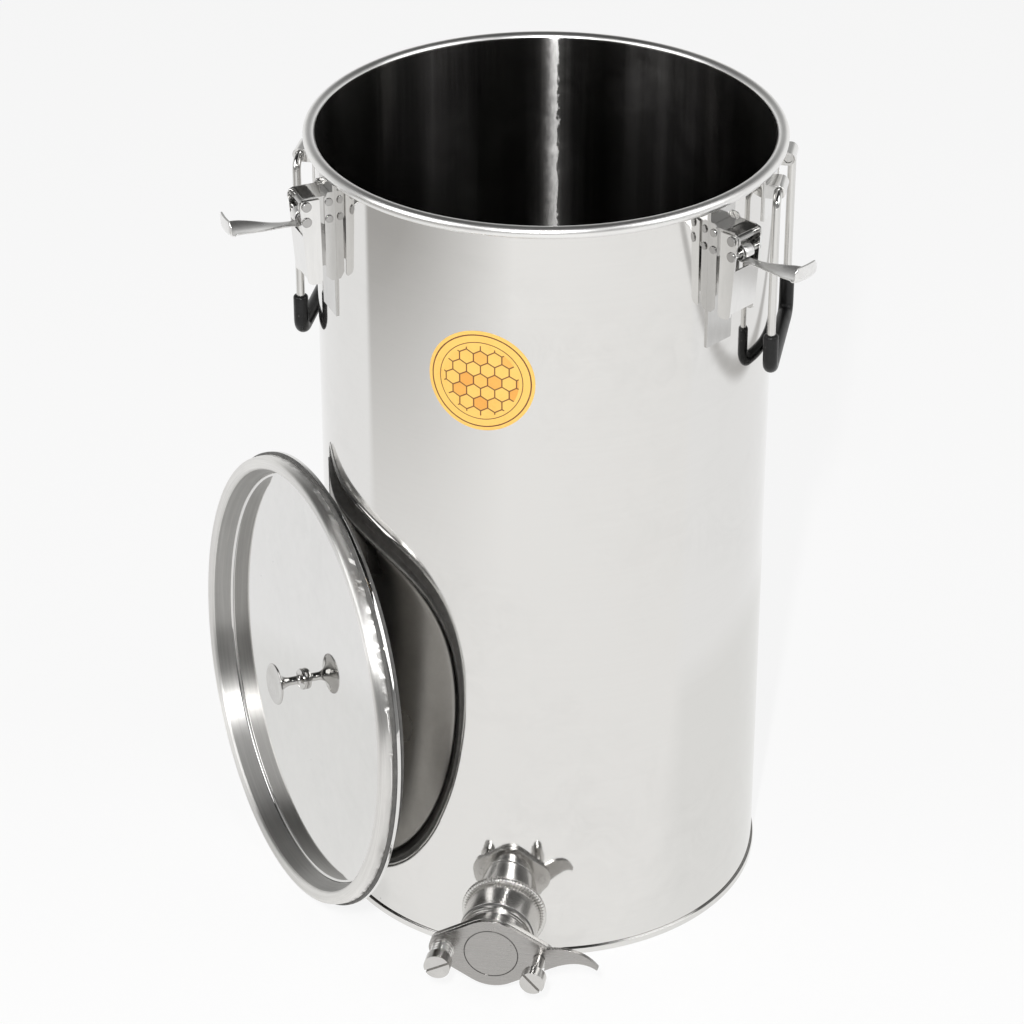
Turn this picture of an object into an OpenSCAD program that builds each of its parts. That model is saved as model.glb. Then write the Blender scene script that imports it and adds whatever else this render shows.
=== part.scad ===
// Honey settling tank: a tall steel cylinder with a swing gate at its foot, three lid
// clamps, two drop handles, and a pressed lid that stands beside it against the wall.
// Millimetres, +Z up. The origin is the middle of the base and the gate points along -Y.

/* [Tank] */
// Outside radius of the wall
tank_r = 160; // [150:1:175]
// Height from the floor to the top of the rim
tank_h = 590; // [560:5:650]
// Sheet thickness of wall and bottom
sheet_t = 1; // [0.8:0.1:1.4]
// Diameter of the rolled rim bead
bead_d = 8.6; // [7.6:0.2:9.6]
// Height of the foot ring under the wall
foot_h = 5; // [4:0.5:6]
// How far the foot ring stands out from the wall
foot_out = 1.5; // [1.2:0.1:2.5]
// Radial width of the foot ring inside the wall
foot_in = 2.5; // [1.5:0.5:4]
// Height of the tank floor above the ground
floor_z = 9; // [8:0.5:12]
// Width and depth of the crease between wall and foot ring
crease = 0.9; // [0.5:0.1:1.1]

/* [Outlet and gate] */
// Height of the outlet axis above the ground
gate_z = 35; // [34:1:45]
// Diameter of the outlet bore
bore_d = 45; // [40:1:46]
// Outside diameter of the stub welded into the wall
stub_d = 55; // [54:0.5:57]
// Length of the stub from the wall to its front face
stub_len = 26; // [22:1:32]
// Diameter of the weld collar round the stub
collar_d = 62; // [59:0.5:64]
// Thickness of the weld collar
collar_t = 1.6; // [1.2:0.1:2.2]
// Outside diameter of the gate's threaded spigot
spigot_d = 48; // [47.5:0.25:49.5]
// Length of the spigot inside the stub
spigot_len = 16; // [12:1:18]
// Thickness of the outlet seal
outlet_seal_t = 2; // [1.5:0.25:3]
// Outside diameter of the gate's shoulder and outlet seal
shoulder_d = 54; // [52:0.5:54]
// Length of the gate's shoulder
shoulder_len = 3; // [2:0.5:5]
// Outside diameter of the gate's neck
neck_d = 50; // [49:0.5:51]
// Length from the outlet seal to the lug flange
neck_len = 14; // [10:1:20]
// Thickness of the lug flange
flange_t = 4; // [3.5:0.25:6]
// Diameter of the round middle of flange and shutter
gate_disc_d = 56; // [55:0.5:60]
// Diameter of the lugs
lug_d = 21; // [20:0.5:23]
// Distance between the two gate screws
screw_span = 70; // [69:0.5:76]
// Thickness of the swinging shutter
shutter_t = 3; // [2.5:0.25:4]
// Gap between flange and shutter, filled by the face seal
face_gap = 0.6; // [0.5:0.05:0.9]
// Inside diameter of the face seal
face_seal_d = 47.4; // [47:0.2:48.4]
// Radial width of the face seal
face_seal_w = 2.6; // [2:0.1:2.8]
// Depth of the face seal's groove
face_seal_depth = 1.5; // [1:0.1:2]
// Length of the shutter's tail beyond the clamp screw
tail_len = 43; // [36:1:50]
// Drop of the tail's tip below the screws
tail_drop = 2; // [0:0.5:4]
// Blunt height of the tail's tip
tail_tip = 2.5; // [2:0.25:4]
// Diameter of the ring cut into the shutter's face
ring_cut_d = 39; // [34:1:42]

/* [Gate screws] */
// Shank diameter of the pivot screw
pivot_d = 6; // [5:0.5:7]
// Head diameter of the pivot screw
pivot_head_d = 19; // [17.5:0.5:20]
// Shank diameter of the clamp screw
clamp_screw_d = 8; // [6:0.5:9]
// Head diameter of the clamp screw
clamp_head_d = 18; // [16:0.5:20]
// Height of both screw heads
head_h = 9; // [7:0.5:11]
// Width of the slot across a head
slot_w = 1.8; // [1.2:0.1:2.4]
// Depth of the slot across a head
slot_depth = 2.6; // [1.5:0.1:4]
// Thickness of the washer under the spring
washer_t = 1.2; // [1:0.1:2]
// Length of the pivot spring
spring_len = 12.5; // [12:0.5:17]
// Outside diameter of the pivot spring
spring_d = 16; // [15:0.25:17]
// Wire diameter of the pivot spring
spring_wire = 1.6; // [1.4:0.1:1.8]
// Number of turns of the pivot spring
spring_turns = 4; // [3:0.5:4]
// Free space under the clamp screw's head
clamp_lift = 20; // [16:0.5:22]

/* [Clamps] */
// Angle of the two front clamps from the gate
clamp_angle = 57; // [52:1:62]
// Sheet thickness of base, bridge and lever
clamp_t = 1.2; // [1:0.1:1.4]
// Inside width of the base channel
clamp_w = 22.4; // [21.6:0.2:24]
// Depth of the base channel's flanges from the wall
clamp_flange = 7; // [6:0.25:7.5]
// Length of the base channel's flanges
clamp_flange_len = 74; // [68:1:80]
// Length of the base plate with its tail
clamp_base_len = 102; // [96:1:110]
// Distance of the lever pin from the wall
lever_pin_out = 20; // [19.5:0.25:22]
// Distance of the lever pin below the top of the rim
lever_pin_drop = 25.5; // [24:0.5:28]
// Distance from the lever pin down to the hook pin
hook_pin_drop = 11.5; // [11:0.25:13]
// Length of the lever below its pin
lever_len = 59; // [54:1:66]
// Depth of the lever at its pins
lever_depth = 14; // [13:0.25:14.5]
// Lean of the lever towards the wall at its lower end
lever_lean = 4; // [3:0.25:4.25]
// Diameter of the lever and hook pins
pin_d = 5; // [4:0.25:5.5]
// Diameter of the rivets through the base
rivet_d = 4; // [3:0.25:4]
// Length of the hook from its pin to the bend
hook_len = 55; // [48:1:58]
// Height of the hook's bent tip
hook_tip = 12; // [10:0.5:14]
// Width of the hook at its bent tip
hook_w = 22; // [18:0.5:22]
// Width of the hook's stem
hook_stem_w = 8; // [6:0.5:10]
// Sheet thickness of the hook
hook_t = 1.6; // [1.2:0.1:1.8]
// Outside diameter of the hook's rolled eye
hook_eye_d = 12.8; // [12:0.2:13.6]
// Angle of the hook above level
hook_rise = 3; // [0:1:12]
// Angle of the rear clamp's hook above level
rear_hook_rise = -2; // [-8:1:4]
// Outside radius of the hook's bend
hook_bend = 5; // [4:0.5:6]

/* [Handles] */
// Distance between the two legs of a handle
handle_w = 92; // [90:1:100]
// Distance from the pivot down to the grip
handle_drop = 130; // [120:1:150]
// Wire diameter of a handle
wire_d = 6; // [5:0.25:6.5]
// Diameter of the grip sleeve
grip_d = 10.5; // [9.5:0.25:11]
// Length of the grip sleeve up each leg
grip_up = 19; // [18:1:30]
// Bend radius of the wire at its corners, along its centre
wire_bend = 8; // [7.5:0.25:9]
// Distance of the handle pivot from the wall
handle_out = 6; // [5.9:0.1:7.5]
// Distance of the handle pivot below the top of the rim
handle_below = 21; // [19:0.5:24]
// Width of the handle bracket
bracket_w = 74; // [70:1:78]
// Height of the handle bracket
bracket_h = 34; // [28:1:40]
// Thickness of the handle bracket's plate
bracket_t = 1.5; // [1.2:0.1:2]
// Length of each knuckle on the handle bracket
knuckle_len = 19; // [15:1:22]
// Wall of the knuckle round the wire
knuckle_t = 2; // [1.5:0.1:2.2]

/* [Lid] */
// Height of the lid's crown above the rim
crown_h = 11.5; // [10.5:0.25:12]
// Step from the gasket's edge in to the crown
crown_inset = 2; // [1.5:0.25:2.5]
// Width of the crown's top
crown_w = 6; // [5.5:0.25:6.5]
// Drop of the crown's top towards the middle
crown_slope = 1; // [0.5:0.25:1.25]
// How far the wall inside the crown comes in on its way down
crown_lean = 4.4; // [4:0.2:5]
// Height of the middle plate's edge, from the rim
plate_z = -4.5; // [-5:0.25:-4]
// Rise of the middle plate from its edge to the knob
plate_dome = 4.5; // [2:0.25:5]
// Sheet thickness of the lid
lid_t = 1; // [0.8:0.1:1.2]
// Thickness of the lid gasket
gasket_t = 2.5; // [2:0.1:3.5]
// Depth of the gasket's lip that reaches into the tank's mouth
gasket_lip = 9.5; // [8:0.25:11]
// Radial thickness of the gasket's lip
gasket_lip_t = 2.2; // [2:0.1:2.4]
// Height of the gasket carrier's lip
lip_h = 2.6; // [2:0.1:3.5]
// Thickness of the gasket carrier
carrier_t = 0.8; // [0.6:0.1:1]
// Height of the lid knob
knob_h = 24; // [20:0.5:28]
// Diameter of the lid knob's disc
knob_d = 31; // [26:1:36]
// Diameter of the lid knob's foot
knob_foot_d = 16; // [14:1:20]
// Diameter of the lid knob's stem
knob_stem_d = 8; // [7.5:0.25:10]
// Diameter of the screw that holds the knob
knob_screw_d = 5; // [4:0.25:5.5]
// Direction in which the standing lid faces, from the gate
lid_angle = -54; // [-60:0.5:-50]
// Lean of the standing lid from upright
lid_lean = 4; // [3:0.25:6]
// Sideways shift of the standing lid
lid_shift = -30; // [-45:0.5:-25]

/* [Label] */
// Diameter of the round label
label_d = 74.4; // [60:0.2:90]
// Thickness of the label
label_t = 0.25; // [0.2:0.05:0.4]
// Distance of the label's middle below the top of the rim
label_drop = 118.5; // [110:0.5:150]
// Angle of the label from the gate
label_angle = -5.5; // [-20:0.5:20]

/* [Fits] */
// Running clearance of a pin or screw in its hole
run_gap = 0.05; // [0.02:0.01:0.1]
// Clearance between flat faces that slide past each other
slide_gap = 0.3; // [0.2:0.05:0.4]
// Clearance of the standing lid from wall and floor
rest_gap = 0.3; // [0.2:0.05:0.5]

/* [Hidden] */
$fn = 96;
// Finer rounding for cuts along the wall, where thin plates follow its curve
wall_fn = 360;
// Name, angle from the gate and rise of the hook of each clamp
CLAMPS = [["left", -clamp_angle, hook_rise], ["right", clamp_angle, hook_rise],
    ["rear", 180, rear_hook_rise]];
HANDLES = [["left", -90], ["right", 90]];
CLAMP_PIECES = ["base", "bridge", "lever", "lever_pin", "hook", "hook_pin"];
HANDLE_PIECES = ["bracket", "wire", "grip"];

STEEL = [0.78, 0.77, 0.75];
BRIGHT = [0.86, 0.86, 0.85];
BLACK = [0.06, 0.06, 0.06];
YELLOW = [0.93, 0.68, 0.22];

// Rim bead
bead_r = bead_d / 2;
bead_mid_r = tank_r - sheet_t + bead_r;
bead_out_r = bead_mid_r + bead_r;
bead_mid_z = tank_h - bead_r;
bead_low_z = tank_h - bead_d;

// Distances along the gate's axis, outward from the tank's axis
stub_front = tank_r + stub_len;
gate_back = stub_front + outlet_seal_t;
flange_back = gate_back + neck_len;
flange_front = flange_back + flange_t;
shutter_back = flange_front + face_gap;
shutter_front = shutter_back + shutter_t;
washer_back = shutter_front + 2 * run_gap;
spring_back = washer_back + washer_t;
pivot_head_back = spring_back + spring_len;
clamp_head_back = shutter_front + clamp_lift;
face_seal_proud = face_gap - 2 * run_gap;
notch_r = clamp_screw_d / 2 + slide_gap;
lug_x = screw_span / 2;

// Clamp places, outward from the tank's axis and up from the ground
lever_pin_r = tank_r + lever_pin_out;
lever_pin_z = tank_h - lever_pin_drop;
hook_pin_z = lever_pin_z - hook_pin_drop;
clamp_top_z = bead_low_z - 1;
flange_edge_r = tank_r + clamp_flange;
bridge_half = clamp_w / 2;
base_half = bridge_half + clamp_t;
lever_half = clamp_w / 2 + slide_gap;
lever_inner_r = lever_pin_r - lever_depth * 0.68;
lever_outer_r = lever_inner_r + lever_depth;
pin_r = pin_d / 2;
eye_r = hook_eye_d / 2;
eye_bore_r = eye_r - hook_t;
eye_half = hook_stem_w / 2;
rivet_r = rivet_d / 2;
rivet_out = tank_r + clamp_flange / 2 + 0.4;
rivet_rows = [lever_pin_z + 1, hook_pin_z];
rivet_head_h = 1;
web_top_z = hook_pin_z - eye_r - 3.5;

// Handle places
handle_r = tank_r + handle_out;
handle_z = tank_h - handle_below;
wire_r = wire_d / 2;
grip_r = grip_d / 2;
leg_x = handle_w / 2;

// Lid, with its own height counted from the top of the rim
lid_r = bead_out_r + slide_gap + carrier_t;
pan_r = lid_r - crown_inset;
crown_ridge_r = pan_r - 3.5;
crown_inner_r = crown_ridge_r - crown_w;
crown_inner_z = crown_h - crown_slope;
hem_in_r = crown_inner_r + 0.8;
plate_r = crown_inner_r - crown_lean;
plate_mid_z = plate_z + plate_dome;
plate_flat_r = knob_foot_d / 2 + 2;
seat_r = bead_mid_r;
gasket_in_r = crown_inner_r - 1.9 + lid_t;
gasket_lip_r = gasket_in_r + gasket_lip_t;
carrier_in_r = seat_r + 3;
lid_up = rest_gap + lid_r * cos(lid_lean) + lip_h * sin(lid_lean);
label_z = tank_h - label_drop;
touch_up = sqrt(gasket_lip_r * gasket_lip_r - lid_shift * lid_shift);
lid_out = tank_r + rest_gap + touch_up * sin(lid_lean) + gasket_lip * cos(lid_lean);

// Points of a quadratic curve from a to c, drawn towards b
function curve(a, b, c, steps) =
    [for (i = [0:steps]) let (s = i / steps) (1 - s) * (1 - s) * a + 2 * s * (1 - s) * b + s * s * c];

// An upright cylinder about the tank's axis, taller than the tank, to cut pieces to the wall's curve
module wall_cut(r) {
    translate([0, 0, -tank_h / 2]) cylinder(r = r, h = 2 * tank_h, $fn = wall_fn);
}

// A round bar along -Y that starts at a distance from the tank's axis
module bar(x, from, to, r) {
    translate([x, -from, gate_z]) rotate([90, 0, 0]) cylinder(r = r, h = to - from);
}

// A flat plate across the gate's axis
module gate_plate(from, to) {
    translate([0, -from, gate_z]) rotate([90, 0, 0]) linear_extrude(to - from) children();
}

// A plate that stands radially: its outline is drawn as distance from the axis and height
module side_plate(x, t) {
    translate([x + t, 0, 0]) rotate([90, 0, -90]) linear_extrude(t) children();
}

// The same radial plate on both sides, between two distances from the middle
module side_pair(inner, t) {
    side_plate(inner, t) children();
    side_plate(-inner - t, t) children();
}

// A round bar across a clamp or handle, along X
module cross_bar(r, half, out, z) {
    translate([-half, -out, z]) rotate([0, 90, 0]) cylinder(r = r, h = 2 * half);
}

// Points along an arc in a flat outline
function arc(x, r, from, to, steps) =
    [for (i = [0:steps]) let (a = from + (to - from) * i / steps) [x + r * cos(a), r * sin(a)]];

// Outline of flange and shutter: a round middle and two lugs, with straight sides that touch both
module rhombus() {
    disc_r = gate_disc_d / 2;
    lug_r = lug_d / 2;
    lean = acos((disc_r - lug_r) / lug_x);
    polygon(concat(
        arc(lug_x, lug_r, -lean, lean, 16),
        arc(0, disc_r, lean, 180 - lean, 12),
        arc(-lug_x, lug_r, 180 - lean, 180 + lean, 16),
        arc(0, disc_r, 180 + lean, 360 - lean, 12)));
}

// Screw slot across a head whose face is at a distance from the tank's axis
module head_slot(x, face, r, turn) {
    translate([x, -face, gate_z]) rotate([0, turn, 0])
        cube([2 * r + 2, 2 * slot_depth, slot_w], center = true);
}

module tank_shell() {
    color(STEEL) difference() {
        rotate_extrude() {
            translate([tank_r - sheet_t, foot_h]) square([sheet_t, bead_mid_z - foot_h]);
            translate([bead_mid_r, bead_mid_z]) circle(r = bead_r);
        }
        bar(0, 0, tank_r + bead_d, stub_d / 2 + run_gap);
    }
}

module tank_bottom() {
    in_r = tank_r - sheet_t - run_gap;
    color(STEEL) rotate_extrude() polygon([
        [0, floor_z - sheet_t],
        [in_r - sheet_t, floor_z - sheet_t],
        [in_r - sheet_t, foot_h],
        [tank_r - foot_in, foot_h - sheet_t],
        [tank_r - foot_in, 0],
        [tank_r + foot_out, 0],
        [tank_r + foot_out, foot_h - 0.6],
        [tank_r + foot_out - 0.6, foot_h],
        [tank_r + crease, foot_h],
        [tank_r + crease / 2, foot_h - crease],
        [tank_r, foot_h],
        [in_r, foot_h],
        [in_r, floor_z],
        [0, floor_z]]);
}

module outlet_stub() {
    color(BRIGHT) difference() {
        union() {
            bar(0, 0, stub_front, stub_d / 2);
            intersection() {
                bar(0, 0, tank_r + collar_t, collar_d / 2);
                wall_cut(tank_r + collar_t);
            }
        }
        bar(0, -1, stub_front + 1, spigot_d / 2 + run_gap);
        difference() {
            wall_cut(tank_r + run_gap);
            bar(0, 0, tank_r + 1, stub_d / 2);
        }
        wall_cut(tank_r - sheet_t);
        // The collar is cut off level above the foot ring
        cylinder(r = tank_r + foot_out + collar_t, h = foot_h + slide_gap);
    }
}

module outlet_seal() {
    color(BLACK) difference() {
        bar(0, stub_front, gate_back, shoulder_d / 2);
        bar(0, stub_front - 1, gate_back + 1, spigot_d / 2 + run_gap);
    }
}

module gate_body() {
    color(BRIGHT) difference() {
        union() {
            bar(0, stub_front - spigot_len, flange_back, spigot_d / 2);
            bar(0, gate_back, gate_back + shoulder_len, shoulder_d / 2);
            bar(0, gate_back, flange_back, neck_d / 2);
            gate_plate(flange_back, flange_front) rhombus();
        }
        bar(0, stub_front - spigot_len - 1, flange_front + 1, bore_d / 2);
        bar(-lug_x, flange_back - 1, flange_front + 1, pivot_d / 2 + run_gap);
        bar(lug_x, flange_back - 1, flange_front + 1, clamp_screw_d / 2 + run_gap);
        difference() {
            bar(0, flange_front - face_seal_depth, flange_front + 1, face_seal_d / 2 + face_seal_w);
            bar(0, flange_front - face_seal_depth - 1, flange_front + 2, face_seal_d / 2);
        }
    }
}

module gate_seal() {
    color(BLACK) difference() {
        bar(0, flange_front - face_seal_depth, flange_front + face_seal_proud, face_seal_d / 2 + face_seal_w);
        bar(0, flange_front - face_seal_depth - 1, flange_front + 2, face_seal_d / 2);
    }
}

// Outline of the shutter: like the flange's, with a horn on one lug that turns down at its tip
module shutter_outline() {
    disc_r = gate_disc_d / 2;
    lug_r = lug_d / 2;
    lean = acos((disc_r - lug_r) / lug_x);
    top = [lug_x + lug_r * cos(lean), lug_r * sin(lean)];
    bottom = [top[0], -top[1]];
    tip = [lug_x + tail_len, -tail_drop];
    polygon(concat(
        curve(bottom, [lug_x + tail_len * 0.65, lug_r / 2], tip - [1, tail_tip], 12),
        curve(tip, [lug_x + tail_len * 0.7, lug_r + 4], top, 12),
        arc(0, disc_r, lean, 180 - lean, 12),
        arc(-lug_x, lug_r, 180 - lean, 180 + lean, 16),
        arc(0, disc_r, 180 + lean, 360 - lean, 12)));
}

module gate_shutter() {
    color(BRIGHT) difference() {
        gate_plate(shutter_back, shutter_front) difference() {
            shutter_outline();
            // Notch that slides off the clamp screw as the shutter swings up
            translate([-lug_x, 0]) intersection() {
                difference() {
                    circle(r = screw_span + notch_r, $fn = 360);
                    circle(r = screw_span - notch_r, $fn = 360);
                }
                polygon([[0, 0], [2 * screw_span, 0], [2 * screw_span, -screw_span]]);
            }
            translate([lug_x, 0]) circle(r = notch_r);
        }
        bar(-lug_x, shutter_back - 1, shutter_front + 1, pivot_d / 2 + run_gap);
        difference() {
            bar(0, shutter_front - 0.3, shutter_front + 1, ring_cut_d / 2 + 0.3);
            bar(0, shutter_front - 1, shutter_front + 2, ring_cut_d / 2 - 0.3);
        }
    }
}

module gate_pivot_screw() {
    face = pivot_head_back + head_h;
    color(BRIGHT) difference() {
        union() {
            bar(-lug_x, flange_back, pivot_head_back, pivot_d / 2);
            bar(-lug_x, pivot_head_back, face, pivot_head_d / 2);
        }
        head_slot(-lug_x, face, pivot_head_d / 2, -28);
    }
}

module gate_washer() {
    color(BRIGHT) difference() {
        bar(-lug_x, washer_back, spring_back, spring_d / 2 + 0.5);
        bar(-lug_x, washer_back - 1, spring_back + 1, pivot_d / 2 + run_gap);
    }
}

// Spring: one wire along a helix, with a short straight run at each end
spring_mid_r = (spring_d - spring_wire) / 2;
spring_steps = 8 * spring_turns;
spring_rise = spring_len - 2 * spring_wire;
spring_path = concat(
    [[spring_mid_r, 0, 0]],
    [for (i = [0:spring_steps]) let (a = 360 * spring_turns * i / spring_steps)
        [spring_mid_r * cos(a), spring_mid_r * sin(a), spring_wire + spring_rise * i / spring_steps]],
    [[spring_mid_r * cos(360 * spring_turns), spring_mid_r * sin(360 * spring_turns), spring_len]]);
spring_gap = min([for (i = [1:spring_steps - 4]) for (j = [i + 5:spring_steps + 1])
    norm(spring_path[j] - spring_path[i])]) - spring_wire;
echo(spring_least_gap_to_itself = spring_gap);

module gate_spring() {
    sides = 6;
    last = len(spring_path) - 1;
    radius = spring_wire / 2;
    // Each ring lies in the plane of the axis and its own point, or level at the two ends
    function ring(i) = let (
        p = spring_path[i],
        out = [p[0], p[1], 0] / spring_mid_r,
        around = [-out[1], out[0], 0],
        level = i == 0 || i == last,
        second = level ? around : (i == 1 ? [around[0], around[1], -1] / sqrt(2) * 1.1
            : (i == last - 1 ? [around[0], around[1], -1] / sqrt(2) * 1.1 : [0, 0, -1])))
        [for (k = [0:sides - 1]) let (a = 360 * k / sides) p + radius * (cos(a) * out + sin(a) * second)];
    points = [for (i = [0:last]) each ring(i)];
    walls = [for (i = [0:last - 1]) for (k = [0:sides - 1])
        let (a = i * sides + k, b = i * sides + (k + 1) % sides, c = a + sides, d = b + sides)
        each [[a, c, b], [b, c, d]]];
    first_cap = [for (k = [1:sides - 2]) [0, k, k + 1]];
    last_cap = [for (k = [1:sides - 2]) [last * sides, last * sides + k + 1, last * sides + k]];
    color(BRIGHT) translate([-lug_x, -spring_back, gate_z]) rotate([90, 0, 0])
        polyhedron(points, concat(first_cap, walls, last_cap));
}

module gate_clamp_screw() {
    face = clamp_head_back + head_h;
    color(BRIGHT) difference() {
        union() {
            bar(lug_x, flange_back, clamp_head_back, clamp_screw_d / 2);
            bar(lug_x, clamp_head_back, face, clamp_head_d / 2);
        }
        head_slot(lug_x, face, clamp_head_d / 2, 48);
    }
}

// Base of a clamp: a plate on the wall with a tail, and two flanges that stand out
module clamp_base() {
    color(BRIGHT) difference() {
        union() {
            side_plate(-base_half, 2 * base_half) polygon([
                [tank_r - 2, clamp_top_z],
                [tank_r + clamp_t, clamp_top_z],
                [tank_r + clamp_t, clamp_top_z - clamp_base_len + 20],
                [tank_r + clamp_t - 0.4, clamp_top_z - clamp_base_len],
                [tank_r - 2, clamp_top_z - clamp_base_len]]);
            side_pair(bridge_half, clamp_t) polygon([
                [tank_r - 2, clamp_top_z - 8],
                [flange_edge_r - 3, clamp_top_z - 8],
                [flange_edge_r, clamp_top_z - 12],
                [flange_edge_r, clamp_top_z - clamp_flange_len + 4],
                [flange_edge_r - 4, clamp_top_z - clamp_flange_len],
                [tank_r - 2, clamp_top_z - clamp_flange_len]]);
        }
        wall_cut(tank_r);
        for (z = rivet_rows) cross_bar(rivet_r, clamp_w, rivet_out, z);
    }
}

// Bridge of a clamp: two cheeks between the flanges that carry the lever pin, and a strip over them
module clamp_bridge() {
    back = tank_r + clamp_t + 0.2;
    nose = pin_r + 3;
    color(BRIGHT) difference() {
        union() {
            side_pair(bridge_half - clamp_t, clamp_t) {
                translate([lever_pin_r, lever_pin_z]) circle(r = nose);
                polygon([
                    [back, lever_pin_z + nose],
                    [lever_pin_r, lever_pin_z + nose],
                    [lever_pin_r, lever_pin_z - nose],
                    [back + 6, hook_pin_z - rivet_r - 2],
                    [back, hook_pin_z - rivet_r - 2]]);
            }
            side_plate(-bridge_half, 2 * bridge_half)
                translate([back, lever_pin_z + nose - clamp_t]) square([lever_pin_out * 0.55, clamp_t]);
        }
        cross_bar(pin_r + run_gap, clamp_w, lever_pin_r, lever_pin_z);
        for (z = rivet_rows) cross_bar(rivet_r, clamp_w, rivet_out, z);
    }
}

// Lever of a clamp: two cheeks with a web across the lower part of their outer edge
module clamp_lever() {
    low_z = lever_pin_z - lever_len;
    low_in = lever_inner_r - lever_lean + 3;
    low_out = lever_outer_r - lever_lean;
    web_r = lever_outer_r - lever_lean * (lever_pin_z - web_top_z) / lever_len;
    color(BRIGHT) difference() {
        union() {
            side_pair(lever_half, clamp_t) polygon(concat(
                [[lever_inner_r, lever_pin_z + 4], [lever_outer_r - 3, lever_pin_z + 4]],
                curve([lever_outer_r - 3, lever_pin_z + 4], [lever_outer_r, lever_pin_z + 4],
                    [lever_outer_r, lever_pin_z], 6),
                curve([low_out, low_z + 5], [low_out, low_z], [low_out - 5, low_z], 6),
                curve([low_in + 3, low_z], [low_in, low_z], [low_in, low_z + 4], 6)));
            side_plate(-lever_half - clamp_t, 2 * (lever_half + clamp_t)) polygon([
                [web_r, web_top_z],
                [low_out, low_z + 5],
                [low_out - clamp_t, low_z + 5],
                [web_r - clamp_t, web_top_z]]);
        }
        cross_bar(pin_r + run_gap, clamp_w, lever_pin_r, lever_pin_z);
        cross_bar(pin_r + run_gap, clamp_w, lever_pin_r, hook_pin_z);
    }
}

module clamp_lever_pin() {
    head_in = lever_half + clamp_t + slide_gap;
    color(BRIGHT) {
        cross_bar(pin_r, head_in, lever_pin_r, lever_pin_z);
        for (s = [-1, 1]) translate([s * (head_in + rivet_head_h / 2), 0, 0])
            cross_bar(pin_r + 1, rivet_head_h / 2, lever_pin_r, lever_pin_z);
    }
}

// Hook of a clamp, drawn level about its pin and then raised: rolled eye, spoon-shaped blade, bent tip
module clamp_hook(rise) {
    blade_z = -eye_r;
    widen = hook_len * 0.55;
    half = hook_w / 2;
    stem = hook_stem_w / 2;
    bend_at = hook_len - hook_bend;
    stem_end = eye_r + 6;
    color(BRIGHT) translate([0, -lever_pin_r, hook_pin_z]) rotate([-rise, 0, 0]) difference() {
        union() {
            cross_bar(eye_r, eye_half, 0, 0);
            intersection() {
                // The strip seen from its side
                side_plate(-half, hook_w) translate([0, blade_z + hook_bend]) polygon(concat(
                    [[0, hook_t - hook_bend], [0, -hook_bend]],
                    arc(bend_at, hook_bend, -90, 0, 6),
                    [[hook_len, hook_tip - hook_bend], [hook_len - hook_t, hook_tip - hook_bend]],
                    arc(bend_at, hook_bend - hook_t, 0, -90, 6)));
                // The strip seen from above
                translate([0, 0, blade_z - 1]) linear_extrude(hook_tip + 2) mirror([0, 1]) polygon(concat(
                    [[-stem, -1]],
                    curve([-stem, stem_end], [-half, widen], [-half, bend_at], 8),
                    [[-half, hook_len + 1], [half, hook_len + 1]],
                    curve([half, bend_at], [half, widen], [stem, stem_end], 8),
                    [[stem, -1]]));
            }
        }
        cross_bar(eye_bore_r, clamp_w, 0, 0);
    }
}

module clamp_hook_pin() {
    shoulder = eye_half + 1.5;
    head_in = lever_half + clamp_t;
    color(BRIGHT) {
        cross_bar(pin_r, head_in, lever_pin_r, hook_pin_z);
        cross_bar(eye_bore_r - run_gap, shoulder, lever_pin_r, hook_pin_z);
        for (s = [-1, 1]) translate([s * (head_in + rivet_head_h / 2), 0, 0])
            cross_bar(pin_r + 1, rivet_head_h / 2, lever_pin_r, hook_pin_z);
    }
}

// Rivets that hold the bridges in the bases
module clamp_rivets() {
    inner = bridge_half - clamp_t;
    outer = bridge_half + clamp_t;
    color(BRIGHT) for (c = CLAMPS) rotate([0, 0, c[1]]) for (z = rivet_rows) for (s = [-1, 1]) {
        translate([s * (inner + outer) / 2, 0, 0]) cross_bar(rivet_r, (outer - inner) / 2, rivet_out, z);
        translate([s * (outer + rivet_head_h / 2), 0, 0])
            cross_bar(rivet_r + 0.8, rivet_head_h / 2, rivet_out, z);
    }
}

// Bracket of a handle: a plate bent to the wall with a knuckle at each side for the wire's ends
module handle_bracket() {
    half = bracket_w / 2;
    knuckle_r = wire_r + knuckle_t;
    top = bead_low_z - 1;
    color(BRIGHT) difference() {
        union() {
            intersection() {
                translate([-half, -handle_r, top - bracket_h]) cube([bracket_w, handle_r, bracket_h]);
                wall_cut(tank_r + bracket_t);
            }
            for (s = [-1, 1]) translate([s * (half - knuckle_len / 2), 0, 0]) {
                cross_bar(knuckle_r, knuckle_len / 2, handle_r, handle_z);
                translate([-knuckle_len / 2, -handle_r, handle_z - knuckle_r])
                    cube([knuckle_len, handle_out + 12, 2 * knuckle_r]);
            }
        }
        wall_cut(tank_r);
        cross_bar(wire_r + run_gap, bracket_w, handle_r, handle_z);
    }
}

// One quarter bend of a handle, from straight down to straight across
module quarter_bend(r) {
    rotate([90, 0, 0]) rotate_extrude(angle = 90) translate([wire_bend, 0]) circle(r = r);
}

// Path of a handle's wire as a bar of the given radius; legs start at a height below the pivot
module handle_path(r, leg_top) {
    leg_low = wire_bend - handle_drop;
    for (s = [0, 1]) mirror([s, 0, 0]) {
        translate([leg_x, 0, leg_low]) cylinder(r = r, h = leg_top - leg_low);
        translate([leg_x - wire_bend, 0, leg_low]) mirror([0, 0, 1]) quarter_bend(r);
    }
    cross_bar(r, leg_x - wire_bend, 0, -handle_drop);
}

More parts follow.
